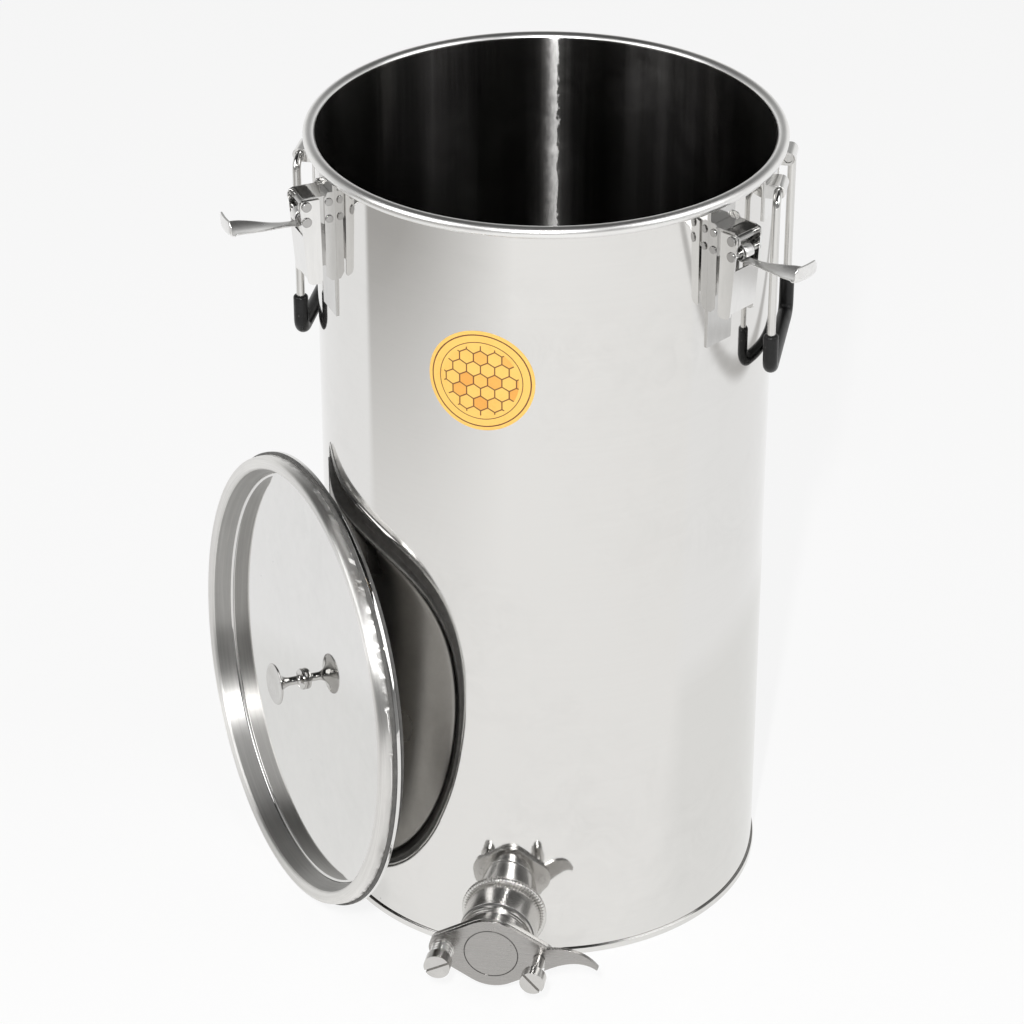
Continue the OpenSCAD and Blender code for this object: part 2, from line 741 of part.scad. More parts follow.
module handle_wire() {
    end_in = bracket_w / 2 - knuckle_len + 1;
    end_len = leg_x - wire_bend - end_in;
    color(BRIGHT) translate([0, -handle_r, handle_z]) {
        handle_path(wire_r, -wire_bend);
        for (s = [0, 1]) mirror([s, 0, 0]) {
            translate([leg_x - wire_bend, 0, -wire_bend]) quarter_bend(wire_r);
            translate([end_in, 0, 0]) rotate([0, 90, 0]) cylinder(r = wire_r, h = end_len);
        }
    }
}

module handle_grip() {
    color(BLACK) translate([0, -handle_r, handle_z]) difference() {
        handle_path(grip_r, wire_bend - handle_drop + grip_up);
        handle_path(wire_r + run_gap, wire_bend - handle_drop + grip_up + 1);
    }
}

// The lid stands on its edge beside the tank and leans its gasket's lip against the wall
module lid_place() {
    out = [sin(lid_angle), -cos(lid_angle), 0];
    side = [cos(lid_angle), sin(lid_angle), 0];
    translate(lid_out * out + lid_shift * side + [0, 0, lid_up]) rotate([90 - lid_lean, 0, lid_angle]) children();
}

// Upper surface of the pressed lid from the skirt to the middle, lowered by the sheet for its underside
function lid_skin(t) = concat(
    [[pan_r - t, gasket_t + t]],
    curve([pan_r - t, gasket_t + 3.5], [pan_r - t, crown_h - t], [crown_ridge_r, crown_h - t], 8),
    curve([crown_inner_r + 2 + t / 2, crown_inner_z + 0.4 - t], [crown_inner_r + t / 2, crown_inner_z - t],
        [crown_inner_r - 0.5 + t, crown_inner_z - 2 - t / 2], 6),
    curve([plate_r + 0.5 + t, plate_z + 2], [plate_r + t / 2, plate_z - t / 2], [plate_r - 2, plate_z - t], 4),
    curve([plate_r - 6, plate_z + 0.2 - t], [plate_r / 2, plate_mid_z - t], [plate_flat_r, plate_mid_z - t], 6),
    [[0, plate_mid_z - t]]);

module lid_pan() {
    skin = lid_skin(0);
    under = lid_skin(lid_t);
    last = len(under) - 1;
    color(STEEL) lid_place() difference() {
        rotate_extrude() polygon(concat(
            [[hem_in_r, gasket_t + lid_t], [hem_in_r, gasket_t], [pan_r, gasket_t]],
            [for (i = [1:last]) skin[i]],
            [for (i = [last:-1:0]) under[i]]));
        translate([0, 0, plate_mid_z - 2 * lid_t]) cylinder(r = knob_screw_d / 2 + run_gap, h = 4 * lid_t);
    }
}

// Flat ring between lid and rim, with a lip inside it that reaches into the tank's mouth
module lid_gasket() {
    color(BLACK) lid_place() rotate_extrude() polygon([
        [gasket_in_r, gasket_t],
        [gasket_in_r, 1 - gasket_lip],
        [gasket_in_r + 1, -gasket_lip],
        [gasket_lip_r, -gasket_lip],
        [gasket_lip_r, 0],
        [lid_r, 0],
        [lid_r, gasket_t]]);
}

// Thin ring under the gasket with a lip that centres the lid on the rim
module lid_carrier() {
    color(BRIGHT) lid_place() rotate_extrude() polygon([
        [carrier_in_r, 0],
        [carrier_in_r, -carrier_t],
        [lid_r - carrier_t, -carrier_t],
        [lid_r - carrier_t, -lip_h],
        [lid_r, -lip_h],
        [lid_r, 0]]);
}

// Turned knob: a foot, a thin stem and a disc that flares out like a trumpet
module lid_knob() {
    stem_r = knob_stem_d / 2;
    disc_r = knob_d / 2;
    foot_top = 3;
    color(BRIGHT) lid_place() translate([0, 0, plate_mid_z]) difference() {
        rotate_extrude() polygon(concat(
            [[0, 0], [knob_foot_d / 2, 0], [knob_foot_d / 2, foot_top]],
            curve([stem_r + 1.5, foot_top + 0.6], [stem_r, foot_top + 1], [stem_r, foot_top + 3], 4),
            curve([stem_r, knob_h * 0.5], [stem_r + 1, knob_h - 3], [disc_r, knob_h - 1.4], 10),
            [[disc_r, knob_h - 0.4], [disc_r - 0.6, knob_h], [0, knob_h]]));
        translate([0, 0, -1]) cylinder(r = knob_screw_d / 2 + run_gap, h = knob_h * 0.6 + 1);
    }
}

module lid_washer() {
    color(BRIGHT) lid_place() translate([0, 0, plate_mid_z - lid_t - washer_t]) difference() {
        cylinder(r = knob_screw_d / 2 + 4, h = washer_t);
        translate([0, 0, -1]) cylinder(r = knob_screw_d / 2 + run_gap, h = washer_t + 2);
    }
}

module lid_screw() {
    seat = plate_mid_z - lid_t - washer_t;
    color(BRIGHT) lid_place() difference() {
        union() {
            translate([0, 0, seat]) cylinder(r = knob_screw_d / 2, h = knob_h * 0.5);
            translate([0, 0, seat - 3]) cylinder(r = knob_screw_d / 2 + 2.2, h = 3);
        }
        translate([0, 0, seat - 3]) cube([knob_screw_d * 2.4, slot_w, 3], center = true);
    }
}

// Round label on the wall
module label() {
    color(YELLOW) intersection() {
        difference() {
            wall_cut(tank_r + label_t);
            wall_cut(tank_r);
        }
        rotate([0, 0, label_angle]) translate([0, -tank_r / 2, label_z]) rotate([90, 0, 0])
            cylinder(r = label_d / 2, h = tank_r);
    }
}

tank_shell();
tank_bottom();
outlet_stub();
outlet_seal();
gate_body();
gate_seal();
gate_shutter();
gate_pivot_screw();
gate_washer();
gate_spring();
gate_clamp_screw();
for (c = CLAMPS) rotate([0, 0, c[1]]) {
    clamp_base();
    clamp_bridge();
    clamp_lever();
    clamp_lever_pin();
    clamp_hook(c[2]);
    clamp_hook_pin();
}
clamp_rivets();
for (h = HANDLES) rotate([0, 0, h[1]]) {
    handle_bracket();
    handle_wire();
    handle_grip();
}
lid_pan();
lid_gasket();
lid_carrier();
lid_knob();
lid_washer();
lid_screw();
label();
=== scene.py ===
"""Looks of a honey settling tank: bright steel wall with a rolled rim, a swing gate at its foot, three lid
clamps, two drop handles with black grips, a round comb label, and the pressed lid that leans on the wall.
"""
from math import cos, radians, sin, sqrt

import bmesh
import bpy
import numpy as np
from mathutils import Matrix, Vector


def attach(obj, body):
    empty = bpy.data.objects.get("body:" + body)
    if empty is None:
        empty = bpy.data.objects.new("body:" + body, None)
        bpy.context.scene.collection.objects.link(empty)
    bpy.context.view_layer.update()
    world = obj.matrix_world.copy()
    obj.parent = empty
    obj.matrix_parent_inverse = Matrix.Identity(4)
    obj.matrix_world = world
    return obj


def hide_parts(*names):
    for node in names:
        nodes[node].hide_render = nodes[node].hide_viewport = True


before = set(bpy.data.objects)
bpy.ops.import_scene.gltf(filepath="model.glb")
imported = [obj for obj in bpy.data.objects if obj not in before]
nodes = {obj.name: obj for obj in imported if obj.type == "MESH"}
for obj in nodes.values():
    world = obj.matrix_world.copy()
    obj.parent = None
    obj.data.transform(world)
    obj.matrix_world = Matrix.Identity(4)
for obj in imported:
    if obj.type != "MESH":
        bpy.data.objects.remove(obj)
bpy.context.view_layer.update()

# Metres in a millimetre, then the sizes of the pieces that are made here, in millimetres
MM = 0.001
TANK_R = 160.0
TANK_H = 590.0
SHEET_T = 1.0
BEAD_R = 4.3
BEAD_MID_R = TANK_R - SHEET_T + BEAD_R
BEAD_MID_Z = TANK_H - BEAD_R
FOOT_H = 5.0
FOOT_IN_R = 157.5
FOOT_OUT_R = 161.5
BOTTOM_Z = 8.0
# Gate, weld and spring; the wall's rows make room for the outlet up to GATE_ROWS_TOP
GATE_Z = 35.0
GATE_ROWS_TOP = 110.0
STUB_R = 27.5
ETCHED_R = 19.5
ETCHED_HALF_W = 0.4
WELD_R = 29.4
WELD_HALF_W = 1.75
WELD_HALF_H = 1.15
WELD_LIFT = 1.3
WELD_RIPPLES = 70
PIVOT_X = -35.0
SPRING_FROM = 210.9
SPRING_LEN = 12.5
SPRING_R = 7.2
SPRING_WIRE_R = 0.9
SPRING_TURNS = 3.5
# Clamps: name, place round the axis and rise of the hook, both in degrees
CLAMPS = (("left", -57.0, 3.0), ("right", 57.0, 3.0), ("rear", 180.0, -2.0))
PIN_OUT = 180.0
HOOK_PIN_Z = 553.0
EYE_R = 6.4
HOOK_T = 1.6
HOOK_LEN = 55.0
HOOK_TIP = 12.0
HOOK_BEND = 5.0
HOOK_STEM_W = 8.0
HOOK_W = 22.0
HOOK_TIP_NARROWING = 4.0
HOOK_SINK = 2.4
# Handles: name and place round the axis in degrees
HANDLES = (("left", -90.0), ("right", 90.0))
HANDLE_OUT = 166.0
HANDLE_Z = 569.0
HANDLE_DROP = 130.0
LEG_X = 46.0
WIRE_R = 3.0
WIRE_BEND = 8.0
WIRE_END_X = 19.0
GRIP_R = 5.25
GRIP_UP = 19.0
GRIP_ROUND = 2.0
# Lid, in its own frame with its axis up; its place round the tank and its lean are angles
LID_ANGLE = radians(-54.0)
LID_LEAN = radians(4.0)
LID_SHIFT = -30.0
LID_R = 168.7
LID_T = 1.0
REST_GAP = 0.3
GASKET_T = 2.5
LIP_H = 2.6
CARRIER_T = 0.8
CARRIER_IN_R = BEAD_MID_R + 3.0
CROWN_H = 11.5
PAN_R = LID_R - 2.0
CROWN_RIDGE_R = PAN_R - 3.5
CROWN_INNER_R = CROWN_RIDGE_R - 6.0
CROWN_INNER_Z = CROWN_H - 1.0
HEM_IN_R = CROWN_INNER_R + 0.8
PLATE_Z = -4.5
PLATE_MID_Z = 0.0
PLATE_R = CROWN_INNER_R - 4.4
PLATE_FLAT_R = 10.0
GASKET_LIP = 9.5
GASKET_IN_R = CROWN_INNER_R - 1.9 + LID_T
GASKET_LIP_R = GASKET_IN_R + 2.2
KNOB_H = 24.0
KNOB_R = 15.5
KNOB_FOOT_R = 8.0
KNOB_FOOT_T = 3.0
KNOB_STEM_R = 4.0
KNOB_HOLLOW = 1.3
LABEL_R = 37.2
LABEL_Z = 471.5
LABEL_ANGLE = radians(-5.5)
LABEL_T = 0.25
LABEL_CELL = 9.8
LABEL_COMB_R = 26.2
LABEL_THIN_RING_R = 28.7
LABEL_RING_R = 34.2
PRINT_BROWN = (0.14, 0.045, 0.016)
# Ground of the studio, in metres
FLOOR_HALF = 4.0
FLOOR_DROP = 0.0003


def smooth_step(a, b, x):
    """Goes from 0 at a to 1 at b along the cubic 3t^2 - 2t^3."""
    t = np.clip((x - a) / (b - a), 0, 1)
    return t * t * (3 - 2 * t)


def softened(outline, radius, steps=4):
    """Each corner of an outline becomes a quadratic curve whose ends lie at the radius from the corner."""
    to_last = np.roll(outline, 1, 0) - outline
    to_next = np.roll(outline, -1, 0) - outline
    last_len = np.linalg.norm(to_last, axis=1, keepdims=True)
    next_len = np.linalg.norm(to_next, axis=1, keepdims=True)
    cut = np.minimum(radius, 0.45 * np.minimum(last_len, next_len))
    start = (outline + to_last / last_len * cut)[:, None]
    end = (outline + to_next / next_len * cut)[:, None]
    s = np.linspace(0, 1, steps + 1)[None, :, None]
    return ((1 - s) ** 2 * start + 2 * s * (1 - s) * outline[:, None] + s ** 2 * end).reshape(-1, 2)


def curve(a, b, c, steps):
    """Points of the quadratic curve from a to c that is drawn towards b."""
    s = np.linspace(0, 1, steps + 1)[:, None]
    return (1 - s) ** 2 * np.array(a) + 2 * s * (1 - s) * np.array(b) + s ** 2 * np.array(c)


def bent(corners, radius, steps=10):
    """A wire's centre line: straight between square corners, with a quarter circle of the radius at each."""
    corners = np.array(corners, float)
    u = corners[:-2] - corners[1:-1]
    v = corners[2:] - corners[1:-1]
    u /= np.linalg.norm(u, axis=1, keepdims=True)
    v /= np.linalg.norm(v, axis=1, keepdims=True)
    turn = np.linspace(0, np.pi / 2, steps + 1)[None, :, None]
    middle = corners[1:-1] + radius * (u + v)
    arcs = middle[:, None] - radius * (v[:, None] * np.cos(turn) + u[:, None] * np.sin(turn))
    return np.concatenate([corners[:1], arcs.reshape(-1, corners.shape[1]), corners[-1:]])


def turned(outline, count=256):
    """An outline of radius and height carried round the axis, so that each of its points draws a circle."""
    a = np.linspace(0, 2 * np.pi, count, endpoint=False)
    r = outline[:, :1]
    z = outline[:, 1:] + 0 * a
    return np.stack([r * np.cos(a), r * np.sin(a), z], -1)


def carried(path, across, section):
    """A section carried along a path: its first number runs along across, one direction for the whole path
    or one for each of its points, and its second runs square to that and to the path. Both ends are closed
    by a fan to the end section's middle."""
    along = np.gradient(path, axis=0)
    along /= np.linalg.norm(along, axis=1, keepdims=True)
    across = np.broadcast_to(across, path.shape)
    normal = np.cross(along, across)
    rings = path[:, None] + section[..., :1] * across[:, None] + section[..., 1:] * normal[:, None]
    first, last = (np.repeat(rings[[k]].mean(1, keepdims=True), rings.shape[1], 1) for k in (0, -1))
    return np.concatenate([first, rings, last])


def round_section(radius, sides=20):
    """A circle of the radius, or one circle for each of several radii along a path."""
    a = np.linspace(0, 2 * np.pi, sides, endpoint=False)
    return np.multiply.outer(np.atleast_1d(radius), np.stack([np.cos(a), np.sin(a)], -1))


def about_axis(points, degrees):
    """Points turned about the tank's axis."""
    a = radians(degrees)
    x, y, z = np.moveaxis(points, -1, 0)
    return np.stack([x * cos(a) - y * sin(a), x * sin(a) + y * cos(a), z], -1)


def on_lid(points):
    """Points from the lid's own frame, with its axis up, to where the lid leans on the wall."""
    out = np.array([sin(LID_ANGLE), -cos(LID_ANGLE), 0])
    side = np.array([cos(LID_ANGLE), sin(LID_ANGLE), 0])
    up = np.array([0, 0, 1.0])
    touch_up = sqrt(GASKET_LIP_R ** 2 - LID_SHIFT ** 2)
    away = TANK_R + REST_GAP + touch_up * sin(LID_LEAN) + GASKET_LIP * cos(LID_LEAN)
    raised = REST_GAP + LID_R * cos(LID_LEAN) + LIP_H * sin(LID_LEAN)
    middle = away * out + LID_SHIFT * side + raised * up
    upward = up * cos(LID_LEAN) - out * sin(LID_LEAN)
    forward = out * cos(LID_LEAN) + up * sin(LID_LEAN)
    return middle + points[..., :1] * side + points[..., 1:2] * upward + points[..., 2:] * forward


def grid_faces(rows, cols, round_rows):
    """Quads between neighbours on a grid whose columns close round, and whose rows may."""
    i, j = np.meshgrid(np.arange(rows if round_rows else rows - 1), np.arange(cols), indexing="ij")
    i_next = (i + 1) % rows
    j_next = (j + 1) % cols
    corners = [i * cols + j, i * cols + j_next, i_next * cols + j_next, i_next * cols + j]
    return np.stack(corners, -1).reshape(-1, 4)


def add_piece(name, points, body, finish, stands_for=(), round_rows=False, faces=None, crease=40):
    """Puts a grid of points into a mesh, merges the points that meet, turns faces outward and shades them
    smooth except across edges sharper than the crease angle."""
    if faces is None:
        faces = grid_faces(points.shape[0], points.shape[1], round_rows)
    mesh = bpy.data.meshes.new(name)
    mesh.from_pydata((points.reshape(-1, 3) * MM).tolist(), [], faces.tolist())
    work = bmesh.new()
    work.from_mesh(mesh)
    bmesh.ops.remove_doubles(work, verts=work.verts, dist=2e-7)
    bmesh.ops.dissolve_degenerate(work, dist=1e-8, edges=work.edges)
    bmesh.ops.recalc_face_normals(work, faces=work.faces)
    work.to_mesh(mesh)
    work.free()
    mesh.polygons.foreach_set("use_smooth", np.ones(len(mesh.polygons), bool))
    mesh.set_sharp_from_angle(angle=radians(crease))
    mesh.materials.append(finish)
    piece = bpy.data.objects.new(name, mesh)
    bpy.context.scene.collection.objects.link(piece)
    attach(piece, body)
    if stands_for:
        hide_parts(*stands_for)
    return piece


def face_vectors(mesh, key):
    """One vector of each face of a mesh, such as its middle or its normal."""
    values = np.empty(3 * len(mesh.polygons))
    mesh.polygons.foreach_get(key, values)
    return values.reshape(-1, 3)


def paint_faces(mesh, kind, *finishes):
    """Adds finishes after the mesh's first one, and gives each face the finish that its number names."""
    for finish in finishes:
        mesh.materials.append(finish)
    mesh.polygons.foreach_set("material_index", kind.astype(np.int32))


def finish_node(name, finish, edge):
    """A solid from the frame keeps its shape: its triangles are welded, flat faces joined, edges broken by a
    small bevel, and it gets its finish."""
    piece = nodes[name]
    mesh = piece.data
    mesh.polygons.foreach_set("use_smooth", np.ones(len(mesh.polygons), bool))
    mesh.materials.clear()
    mesh.materials.append(finish)
    weld = piece.modifiers.new("Weld", "WELD")
    weld.merge_threshold = 2e-5
    flat = piece.modifiers.new("Flat faces", "DECIMATE")
    flat.decimate_type = "DISSOLVE"
    flat.angle_limit = radians(0.6)
    bevel = piece.modifiers.new("Broken edges", "BEVEL")
    bevel.width = edge * MM
    bevel.segments = 2
    bevel.limit_method = "ANGLE"
    bevel.angle_limit = radians(38)
    normals = piece.modifiers.new("Face normals", "WEIGHTED_NORMAL")
    normals.weight = 60
    normals.keep_sharp = True


def add_node(tree, kind, **values):
    """A shader node with its properties and, by socket name, its input values set."""
    made = tree.nodes.new(kind)
    for key, value in values.items():
        if hasattr(made, key):
            setattr(made, key, value)
        else:
            made.inputs[key.replace("_", " ")].default_value = value
    return made


def fill_inputs(tree, made, values):
    """Links or sets a node's inputs in their order. None leaves an input as it is."""
    for k, value in enumerate(values):
        if isinstance(value, bpy.types.NodeSocket):
            tree.links.new(value, made.inputs[k])
        elif value is not None:
            made.inputs[k].default_value = value


def math_node(tree, operation, *values):
    """One sum on values or sockets."""
    made = add_node(tree, "ShaderNodeMath", operation=operation)
    fill_inputs(tree, made, values)
    return made.outputs[0]


def times(tree, first, second):
    """The product of two values or sockets."""
    return math_node(tree, "MULTIPLY", first, second)


def vector_node(tree, operation, *values):
    """One sum on vectors. A length, a distance and a dot product are numbers."""
    made = add_node(tree, "ShaderNodeVectorMath", operation=operation)
    fill_inputs(tree, made, values)
    return made.outputs["Value" if operation in ("LENGTH", "DISTANCE", "DOT_PRODUCT") else "Vector"]


def axis_parts(tree, vector):
    """The X, Y and Z of a vector."""
    made = tree.nodes.new("ShaderNodeSeparateXYZ")
    tree.links.new(vector, made.inputs[0])
    return made.outputs


def joined(tree, *parts):
    """A vector from its X, Y and Z. A part that isn't given is 0."""
    made = tree.nodes.new("ShaderNodeCombineXYZ")
    fill_inputs(tree, made, parts)
    return made.outputs[0]


def spread(tree, value, low, high, to_low=0.0, to_high=1.0):
    """A value mapped from one range to another and held at its ends."""
    made = add_node(tree, "ShaderNodeMapRange", From_Min=low, From_Max=high, To_Min=to_low, To_Max=to_high)
    tree.links.new(value, made.inputs["Value"])
    return made.outputs[0]


def blend(tree, share, first, second, kind="RGBA"):
    """A mix of two colours or colour sockets, or of two vector sockets."""
    made = add_node(tree, "ShaderNodeMix", data_type=kind)
    tree.links.new(share, made.inputs["Factor"])
    for key, value in (("A", first), ("B", second)):
        socket = [s for s in made.inputs if s.name == key and s.type == kind][0]
        if isinstance(value, bpy.types.NodeSocket):
            tree.links.new(value, socket)
        else:
            socket.default_value = (*value, 1)
    return [s for s in made.outputs if s.type == kind][0]


def toned(colour, factor):
    """A colour made lighter or darker."""
    return tuple(c * factor for c in colour)


def new_group(name, inputs, outputs):
    """An empty node group with the named vector or number inputs and number outputs."""
    tree = bpy.data.node_groups.new(name, "ShaderNodeTree")
    for key, kind, value in inputs:
        socket = tree.interface.new_socket(key, in_out="INPUT", socket_type=kind)
        if value is not None:
            socket.default_value = value
    for key in outputs:
        tree.interface.new_socket(key, in_out="OUTPUT", socket_type="NodeSocketFloat")
    return tree, tree.nodes.new("NodeGroupInput"), tree.nodes.new("NodeGroupOutput")


def brushed_grain_group():
    """Fine lines of a brushed sheet: two noises on coordinates that the material has stretched along the
    brush."""
    tree, given, made = new_group(
        "Brushed grain", [("Vector", "NodeSocketVector", None)], ["Lines", "Bands"])
    fine = add_node(tree, "ShaderNodeTexNoise", Scale=1.0, Detail=4.0, Roughness=0.65)
    wide = add_node(tree, "ShaderNodeTexNoise", Scale=0.17, Detail=2.0, Roughness=0.5)
    tree.links.new(given.outputs["Vector"], fine.inputs["Vector"])
    tree.links.new(given.outputs["Vector"], wide.inputs["Vector"])
    tree.links.new(fine.outputs["Fac"], made.inputs["Lines"])
    tree.links.new(wide.outputs["Fac"], made.inputs["Bands"])
    return tree


def handling_marks_group():
    """Cloudy smears from wiping and hands: a broad noise that lets a finer, warped noise through in
    patches."""
    tree, given, made = new_group(
        "Handling marks",
        [("Vector", "NodeSocketVector", None), ("Patch size", "NodeSocketFloat", 10.0)], ["Smear"])
    broad = add_node(tree, "ShaderNodeTexNoise", Detail=3.0, Roughness=0.55, Distortion=0.4)
    inner = add_node(tree, "ShaderNodeTexNoise", Detail=5.0, Roughness=0.7, Distortion=1.2)
    tree.links.new(given.outputs["Vector"], broad.inputs["Vector"])
    tree.links.new(given.outputs["Vector"], inner.inputs["Vector"])
    tree.links.new(given.outputs["Patch size"], broad.inputs["Scale"])
    tree.links.new(times(tree, given.outputs["Patch size"], 4.5), inner.inputs["Scale"])
    patch = spread(tree, broad.outputs["Fac"], 0.46, 0.68)
    smear = spread(tree, inner.outputs["Fac"], 0.38, 0.7)
    tree.links.new(times(tree, patch, smear), made.inputs["Smear"])
    return tree


def specks_group():
    """Small specks and nicks: the middle of a few random cells."""
    tree, given, made = new_group(
        "Specks",
        [("Vector", "NodeSocketVector", None), ("Cells", "NodeSocketFloat", 60.0),
         ("Share", "NodeSocketFloat", 0.05), ("Radius", "NodeSocketFloat", 0.1)], ["Speck"])
    cells = add_node(tree, "ShaderNodeTexVoronoi")
    tree.links.new(given.outputs["Vector"], cells.inputs["Vector"])
    tree.links.new(given.outputs["Cells"], cells.inputs["Scale"])
    inside = math_node(tree, "LESS_THAN", cells.outputs["Distance"], given.outputs["Radius"])
    chance = tree.nodes.new("ShaderNodeSeparateColor")
    tree.links.new(cells.outputs["Color"], chance.inputs[0])
    chosen = math_node(tree, "LESS_THAN", chance.outputs[0], given.outputs["Share"])
    tree.links.new(times(tree, inside, chosen), made.inputs["Speck"])
    return tree


BRUSHED_GRAIN = brushed_grain_group()
HANDLING_MARKS = handling_marks_group()
SPECKS = specks_group()


def place_group(tree, group, vector, **values):
    """A shared group in a material, with its own values."""
    made = tree.nodes.new("ShaderNodeGroup")
    made.node_tree = group
    tree.links.new(vector, made.inputs["Vector"])
    for key, value in values.items():
        made.inputs[key.replace("_", " ")].default_value = value
    return made.outputs


def new_finish(name):
    """A material with its shader, its node tree and its Object coordinates."""
    material = bpy.data.materials.new(name)
    material.use_nodes = True
    tree = material.node_tree
    shader = tree.nodes["Principled BSDF"]
    place = tree.nodes.new("ShaderNodeTexCoord")
    return material, tree, shader, place.outputs["Object"]


def stretched(tree, vector, scale, turn=(0, 0, 0), move=(0, 0, 0)):
    """Coordinates stretched, turned and moved by a Mapping node."""
    made = add_node(tree, "ShaderNodeMapping", Location=move, Rotation=turn, Scale=scale)
    tree.links.new(vector, made.inputs["Vector"])
    return made.outputs[0]


def raise_surface(tree, shader, height, distance, strength):
    """Fine relief from a height."""
    bump = add_node(tree, "ShaderNodeBump", Strength=strength, Distance=distance)
    tree.links.new(height, bump.inputs["Height"])
    tree.links.new(bump.outputs[0], shader.inputs["Normal"])


def draw_out_gloss(tree, shader, amount, **direction):
    """Draws the gloss out square to a direction round the tank's axis or along a map."""
    shader.inputs["Anisotropic"].default_value = amount
    shader.inputs["Anisotropic Rotation"].default_value = 0.25
    tangent = add_node(tree, "ShaderNodeTangent", **direction)
    tree.links.new(tangent.outputs[0], shader.inputs["Tangent"])


def weld_pucker(tree, place):
    """Height of the wall where the outlet's weld has drawn it: soft waves that fade out away from the
    outlet."""
    waves = add_node(tree, "ShaderNodeTexNoise", Scale=34.0, Detail=1.0, Roughness=0.4)
    tree.links.new(place, waves.inputs["Vector"])
    distance = vector_node(tree, "DISTANCE", place, (0, -TANK_R * MM, GATE_Z * MM))
    return times(tree, waves.outputs["Fac"], spread(tree, distance, 0.085, 0.04))


def painted_highlight_share(tree, place, start, end):
    """Share of a painted highlight, a bright line down the rear of the sheet where the lamp over the camera
    is
    mirrored: it grows from start to end across the wall, in blotches, and stops short at end."""
    parts = axis_parts(tree, place)
    blotch = add_node(tree, "ShaderNodeTexNoise", Scale=1.0, Detail=4.0, Roughness=0.7)
    tree.links.new(stretched(tree, place, (420, 420, 170)), blotch.inputs["Vector"])
    wander = spread(tree, blotch.outputs["Fac"], 0.25, 0.75, -0.0022, 0.0022)
    across = math_node(tree, "ADD", parts["X"], wander)
    share = times(tree, spread(tree, across, start, end), spread(tree, across, end + 0.001, end))
    return times(tree, share, math_node(tree, "GREATER_THAN", parts["Y"], 0.0))


def steel_finish(name, colour, rough, brush, marks=10.0, relief=0.1, contrast=0.05, spread_up=0.0,
                 etched=None, puckered=False, painted_highlight=None):
    """Stainless steel: brushed lines in colour, roughness and relief, smears that dull it, and small specks.
    spread_up draws the gloss out upward on a sheet that is rolled round the tank's axis. etched is a ring
    about the gate's axis: its radius and half width in metres. puckered puts the waves near the outlet's
    weld in place of the lines' relief. The last argument is a painted highlight, a bright line down the rear
    of the sheet where the lamp over the camera is mirrored: the sideways places between which it brightens,
    and then ends."""
    material, tree, shader, place = new_finish(name)
    lines = place_group(tree, BRUSHED_GRAIN, stretched(tree, place, brush))
    smear = place_group(tree, HANDLING_MARKS, place, Patch_size=marks)["Smear"]
    speck = place_group(tree, SPECKS, place, Cells=70.0, Share=0.03, Radius=0.045)["Speck"]
    bright = tuple(min(1.0, c) for c in toned(colour, 1 + contrast))
    shade = blend(tree, spread(tree, lines["Lines"], 0.3, 0.7), toned(colour, 1 - contrast), bright)
    shade = blend(tree, times(tree, smear, 0.22), shade, toned(colour, 0.8))
    shade = blend(tree, times(tree, speck, 0.5), shade, toned(colour, 0.35))
    if etched:
        flat = stretched(tree, place, (1, 0, 1), move=(0, 0, -GATE_Z * MM))
        ring = math_node(tree, "COMPARE", vector_node(tree, "LENGTH", flat), *etched)
        shade = blend(tree, times(tree, ring, 0.85), shade, (0.05, 0.048, 0.045))
    worn = math_node(tree, "ADD", spread(tree, lines["Bands"], 0.3, 0.7, rough * 0.85, rough * 1.15),
                     times(tree, smear, 0.06))
    # Painted highlight: a bright line down the rear of the inside, where the lamp over the camera is
    # mirrored.
    if painted_highlight:
        ground = painted_highlight_share(tree, place, *painted_highlight)
        shade = blend(tree, ground, shade, (0.86, 0.85, 0.835))
        worn = math_node(tree, "ADD", worn, times(tree, ground, 0.05))
    tree.links.new(shade, shader.inputs["Base Color"])
    tree.links.new(worn, shader.inputs["Roughness"])
    shader.inputs["Metallic"].default_value = 1.0
    if spread_up:
        draw_out_gloss(tree, shader, spread_up, direction_type="RADIAL", axis="Z")
    if puckered:
        raise_surface(tree, shader, weld_pucker(tree, place), 0.0004, 1.0)
    else:
        raise_surface(tree, shader, lines["Lines"], 0.00001, relief)
    return material


def spun_finish(name, level, rough):
    """Crown and well of the lid: fine rings left by spinning, drawn from the distance to the lid's own axis,
    with a dull gloss."""
    material, tree, shader, place = new_finish(name)
    steel = np.array([1.0, 0.987, 0.963]) * level
    own = add_node(tree, "ShaderNodeMapping", vector_type="TEXTURE", Location=on_lid(np.zeros(3)) * MM,
                   Rotation=(np.pi / 2 - LID_LEAN, 0, LID_ANGLE))
    tree.links.new(place, own.inputs["Vector"])
    parts = axis_parts(tree, own.outputs[0])
    squares = math_node(tree, "ADD", math_node(tree, "POWER", parts["X"], 2.0),
                        math_node(tree, "POWER", parts["Y"], 2.0))
    rings = joined(tree, times(tree, math_node(tree, "SQRT", squares), 1500.0),
                   times(tree, parts["X"], 12.0), times(tree, parts["Y"], 12.0))
    lines = place_group(tree, BRUSHED_GRAIN, rings)
    smear = place_group(tree, HANDLING_MARKS, place, Patch_size=18.0)["Smear"]
    shade = blend(tree, spread(tree, lines["Lines"], 0.3, 0.7), steel * 0.89, steel * 1.11)
    shade = blend(tree, times(tree, smear, 0.3), shade, steel * 0.79)
    worn = spread(tree, lines["Bands"], 0.3, 0.7, rough * 0.87, rough * 1.13)
    tree.links.new(shade, shader.inputs["Base Color"])
    tree.links.new(worn, shader.inputs["Roughness"])
    shader.inputs["Metallic"].default_value = 1.0
    draw_out_gloss(tree, shader, 0.9, direction_type="UV_MAP", uv_map="spin")
    raise_surface(tree, shader, lines["Lines"], 0.00001, 0.12)
    return material


